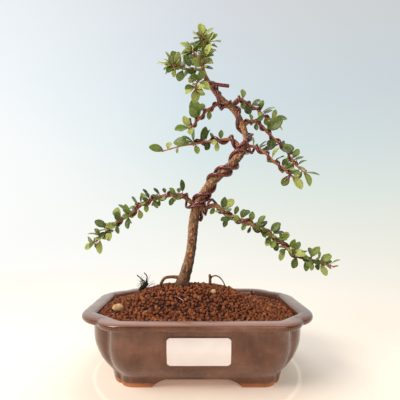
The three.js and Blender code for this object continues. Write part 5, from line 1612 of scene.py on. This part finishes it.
# The clod of dry roots and the two stout roots that stand out of it: x, y, z and radius
TUFT = [
    [(-55, 8, 60, 1.6), (-53.5, 8, 65.5, 2.2), (-50, 9, 68.5, 2), (-47.5, 10, 70, 1)],
    [(-50, 9, 68, 1.1), (-50.5, 8, 72, 0.7), (-54, 7, 75.5, 0.55), (-57.5, 7, 78.5, 0.5)],
    [(-50, 9, 68, 1.1), (-48.6, 8.6, 73, 0.7), (-48.3, 8, 77.5, 0.5), (-51, 8, 80.5, 0.5)],
]
# Thin hairs curling out of the clod
HAIRS = {
    "number": 26, "steps": 14, "step": (0.6, 1.05), "from": (-50.5, 9, 68), "scatter": (2.2, 1, 1),
    "curl": 0.16, "wander": 0.12, "radius": (0.22, 0.08),
}


def root_hair(random):
    at = np.array(HAIRS["from"]) + random.normal(size=3) * HAIRS["scatter"]
    heading = unit(np.array([random.uniform(-0.9, 0.5), random.uniform(-0.3, 0.3), 1.2]))
    curl = random.normal(size=3) * HAIRS["curl"]
    points = []
    for _ in range(HAIRS["steps"]):
        points.append(at)
        heading = unit(heading + curl + random.normal(size=3) * HAIRS["wander"])
        at = at + heading * random.uniform(*HAIRS["step"])
    return tube(np.column_stack([points, np.linspace(*HAIRS["radius"], HAIRS["steps"])]), 5, True)


def make_dry_roots():
    """A dark tuft of dry rootlets."""
    random = np.random.RandomState(12)
    clod = [wood_rows(np.array(rows, float), 0, len(rows) - 1, 0.6) for rows in TUFT]
    parts = [tube(rows, 10, True) for rows in clod]
    parts += [root_hair(random) for _ in range(HAIRS["number"])]
    material = matt("dry_root", "17100c", "352419", 0.8, 0.9, 0.3)
    stands_for(new_object("dry_roots", *gathered(parts), material), "dry_root_tuft")


def finish_screens():
    """The screens under the soil keep their solids and get moulded black plastic."""
    plastic = matt("black_plastic", "161616", "262626", 0.8, 0.5, 0.05)
    for name in ("drain_screen_left", "drain_screen_right"):
        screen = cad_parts[name]
        screen.data.materials.clear()
        screen.data.materials.append(plastic)


# Stage

FLOOR_COLOUR = "f6eadc"
FLOOR_GLOW = "6a655c"
ROOM_COLOUR = "68625b"
# A pale line on the floor round the pot, where it stands on a turntable
TURNTABLE = {"radius": 89.0, "line": 2.2, "glow": "9c968d"}
COVE = {"floor": 900.0, "bend": 500.0, "top": 2200.0, "steps": 12, "sides": 64}
# Share of the colours: the height they are spread over, and the width from left to right and
# from front to back
GLOW_HEIGHT = 1400.0
GLOW_WIDTH = 2000.0
# Soft boxes: place, size in metres, power and screen code
LIGHTS = {
    "key": ((-650, -500, 800), (0.6, 0.5), 10.5, "fff4ea"),
    "fill": ((300, -900, 350), (0.6, 0.4), 2.5, "fff2e8"),
    "top": ((100, 250, 1100), (0.9, 0.6), 4, "f6f9ff"),
}
LIGHTS_AIM = (10, 0, 140)
SKY = {"code": "e6eef6", "strength": 0.35}
# Colours of the wall at the left, in the middle and at the right: share of its height, tone
BACKDROP = [
    ((0.0, "ffffff"), (0.35, "fdfefe"), (0.58, "f4f9fc"), (0.97, "ecf0f4")),
    ((0.0, "f7f6ef"), (0.17, "e9efe9"), (0.38, "d9e7e8"), (0.58, "d6e3e9"), (0.97, "d7dce2")),
    ((0.0, "ece9dc"), (0.17, "dee5de"), (0.38, "d0dadb"), (0.58, "c9d2d7"), (0.97, "cecdcc")),
]


def cove_material():
    """A matt warm floor that turns into a softly glowing wall, whitest at the left, bluish above
    and dimmer behind the camera."""
    material, tree, shader = new_material("cove", FLOOR_COLOUR, 0.9, Specular_IOR_Level=0.1)
    place = add_node(tree, "ShaderNodeSeparateXYZ", {"Vector": millimetres(tree)})
    height = maths(tree, "DIVIDE", place.outputs[2], GLOW_HEIGHT)
    left, middle, right = (ramp(tree, height, *stops) for stops in BACKDROP)
    sideways = maths(tree, "ADD", maths(tree, "DIVIDE", place.outputs[0], GLOW_WIDTH), 0.5)
    tone = blend(tree, maths(tree, "MULTIPLY", sideways, 2.0), left, middle)
    tone = blend(tree, ramp(tree, sideways, (0.5, 0.0), (1.0, 1.0)), tone, right)
    depth = maths(tree, "ADD", maths(tree, "DIVIDE", place.outputs[1], GLOW_WIDTH), 0.5)
    tone = blend(tree, ramp(tree, depth, (0.15, 1.0), (0.6, 0.0)), tone, ROOM_COLOUR)
    ends = {0: millimetres(tree, (1, 1, 0)), 1: tuple(POT_CENTRE * (1, 1, 0) / MM)}
    away = add_node(tree, "ShaderNodeVectorMath", ends, operation="DISTANCE").outputs["Value"]
    off_line = maths(tree, "ABSOLUTE", maths(tree, "SUBTRACT", away, TURNTABLE["radius"]))
    line = ramp(tree, maths(tree, "DIVIDE", off_line, TURNTABLE["line"]), (0.3, 0.6), (1.0, 0.0))
    wall = ramp(tree, depth, (0.53, 0.0), (0.62, 0.35), (0.85, 1.0))
    wall = maths(tree, "MAXIMUM", wall, ramp(tree, height, (0.0, 0.0), (0.1, 1.0)))
    shown = blend(tree, wall, blend(tree, line, FLOOR_GLOW, TURNTABLE["glow"]), tone)
    tree.links.new(shown, shader.inputs["Emission Color"])
    shader.inputs["Emission Strength"].default_value = 1.0
    tree.links.new(blend(tree, wall, FLOOR_COLOUR, (0, 0, 0, 1)), shader.inputs["Base Color"])
    return material


def make_cove():
    """A round studio cove: a pale floor that curves up into a pale wall on every side."""
    floor, bend, steps, sides = (COVE[key] for key in ("floor", "bend", "steps", "sides"))
    profile = [(150, 0), (400, 0), (floor, 0)]
    for k in range(1, steps + 1):
        a = math.pi / 2 * k / steps
        profile.append((floor + bend * math.sin(a), bend * (1 - math.cos(a))))
    profile.append((floor + bend, COVE["top"]))
    vertices = []
    for radius, height in profile:
        for k in range(sides):
            a = 2 * math.pi * k / sides
            vertices.append((radius * math.cos(a), radius * math.sin(a), height))
    faces = ring_faces(len(profile), sides)
    faces.append(tuple(range(sides))[::-1])
    cove = new_object("cove", np.array(vertices), faces, cove_material())


def soft_light(name, at, size, power, code):
    """A soft box that faces the tree."""
    data = bpy.data.lights.new(name, "AREA")
    data.shape = "RECTANGLE"
    data.size, data.size_y = size
    data.energy = power
    data.color = colour(code)[:3]
    light = bpy.data.objects.new(name, data)
    light.location = placed(at)
    aim = Vector(placed(LIGHTS_AIM)) - light.location
    light.rotation_euler = aim.to_track_quat("-Z", "Y").to_euler()
    light.visible_camera = False
    bpy.context.scene.collection.objects.link(light)


def make_studio():
    scene = bpy.context.scene
    make_cove()
    for name, settings in LIGHTS.items():
        soft_light(name, *settings)
    world = bpy.data.worlds.new("studio")
    scene.world = world
    world.use_nodes = True
    background = world.node_tree.nodes["Background"]
    background.inputs["Color"].default_value = colour(SKY["code"])
    background.inputs["Strength"].default_value = SKY["strength"]
    scene.view_settings.view_transform = "Standard"
    scene.view_settings.look = "None"
    data = bpy.data.cameras.new("camera")
    data.lens = CAMERA_LENS
    data.sensor_width = 36
    camera = bpy.data.objects.new("camera", data)
    camera.location = placed(CAMERA_AT)
    camera.rotation_euler = (math.radians(90 + CAMERA_PITCH), 0, 0)
    scene.collection.objects.link(camera)
    scene.camera = camera


# Build

make_studio()
wood_balls = np.vstack([limb_balls(rows) for rows in (*LIMBS.values(), *ROOTS.values())])
stone_balls = np.array([(*at, max(size)) for at, size, _ in STONES.values()])
anchor_balls = limb_balls(np.array([(*point, ANCHOR_WIRE_RADIUS) for point in ANCHOR_TIE]))
make_pot()
make_soil_bed()
make_grains(np.vstack([wood_balls, stone_balls, anchor_balls]))
make_stones()
make_dry_roots()
make_label()
finish_screens()
make_trunk(wood_balls, bark())
wire_balls = make_wires(wood_balls)
make_sprays(wood_balls, wire_balls)
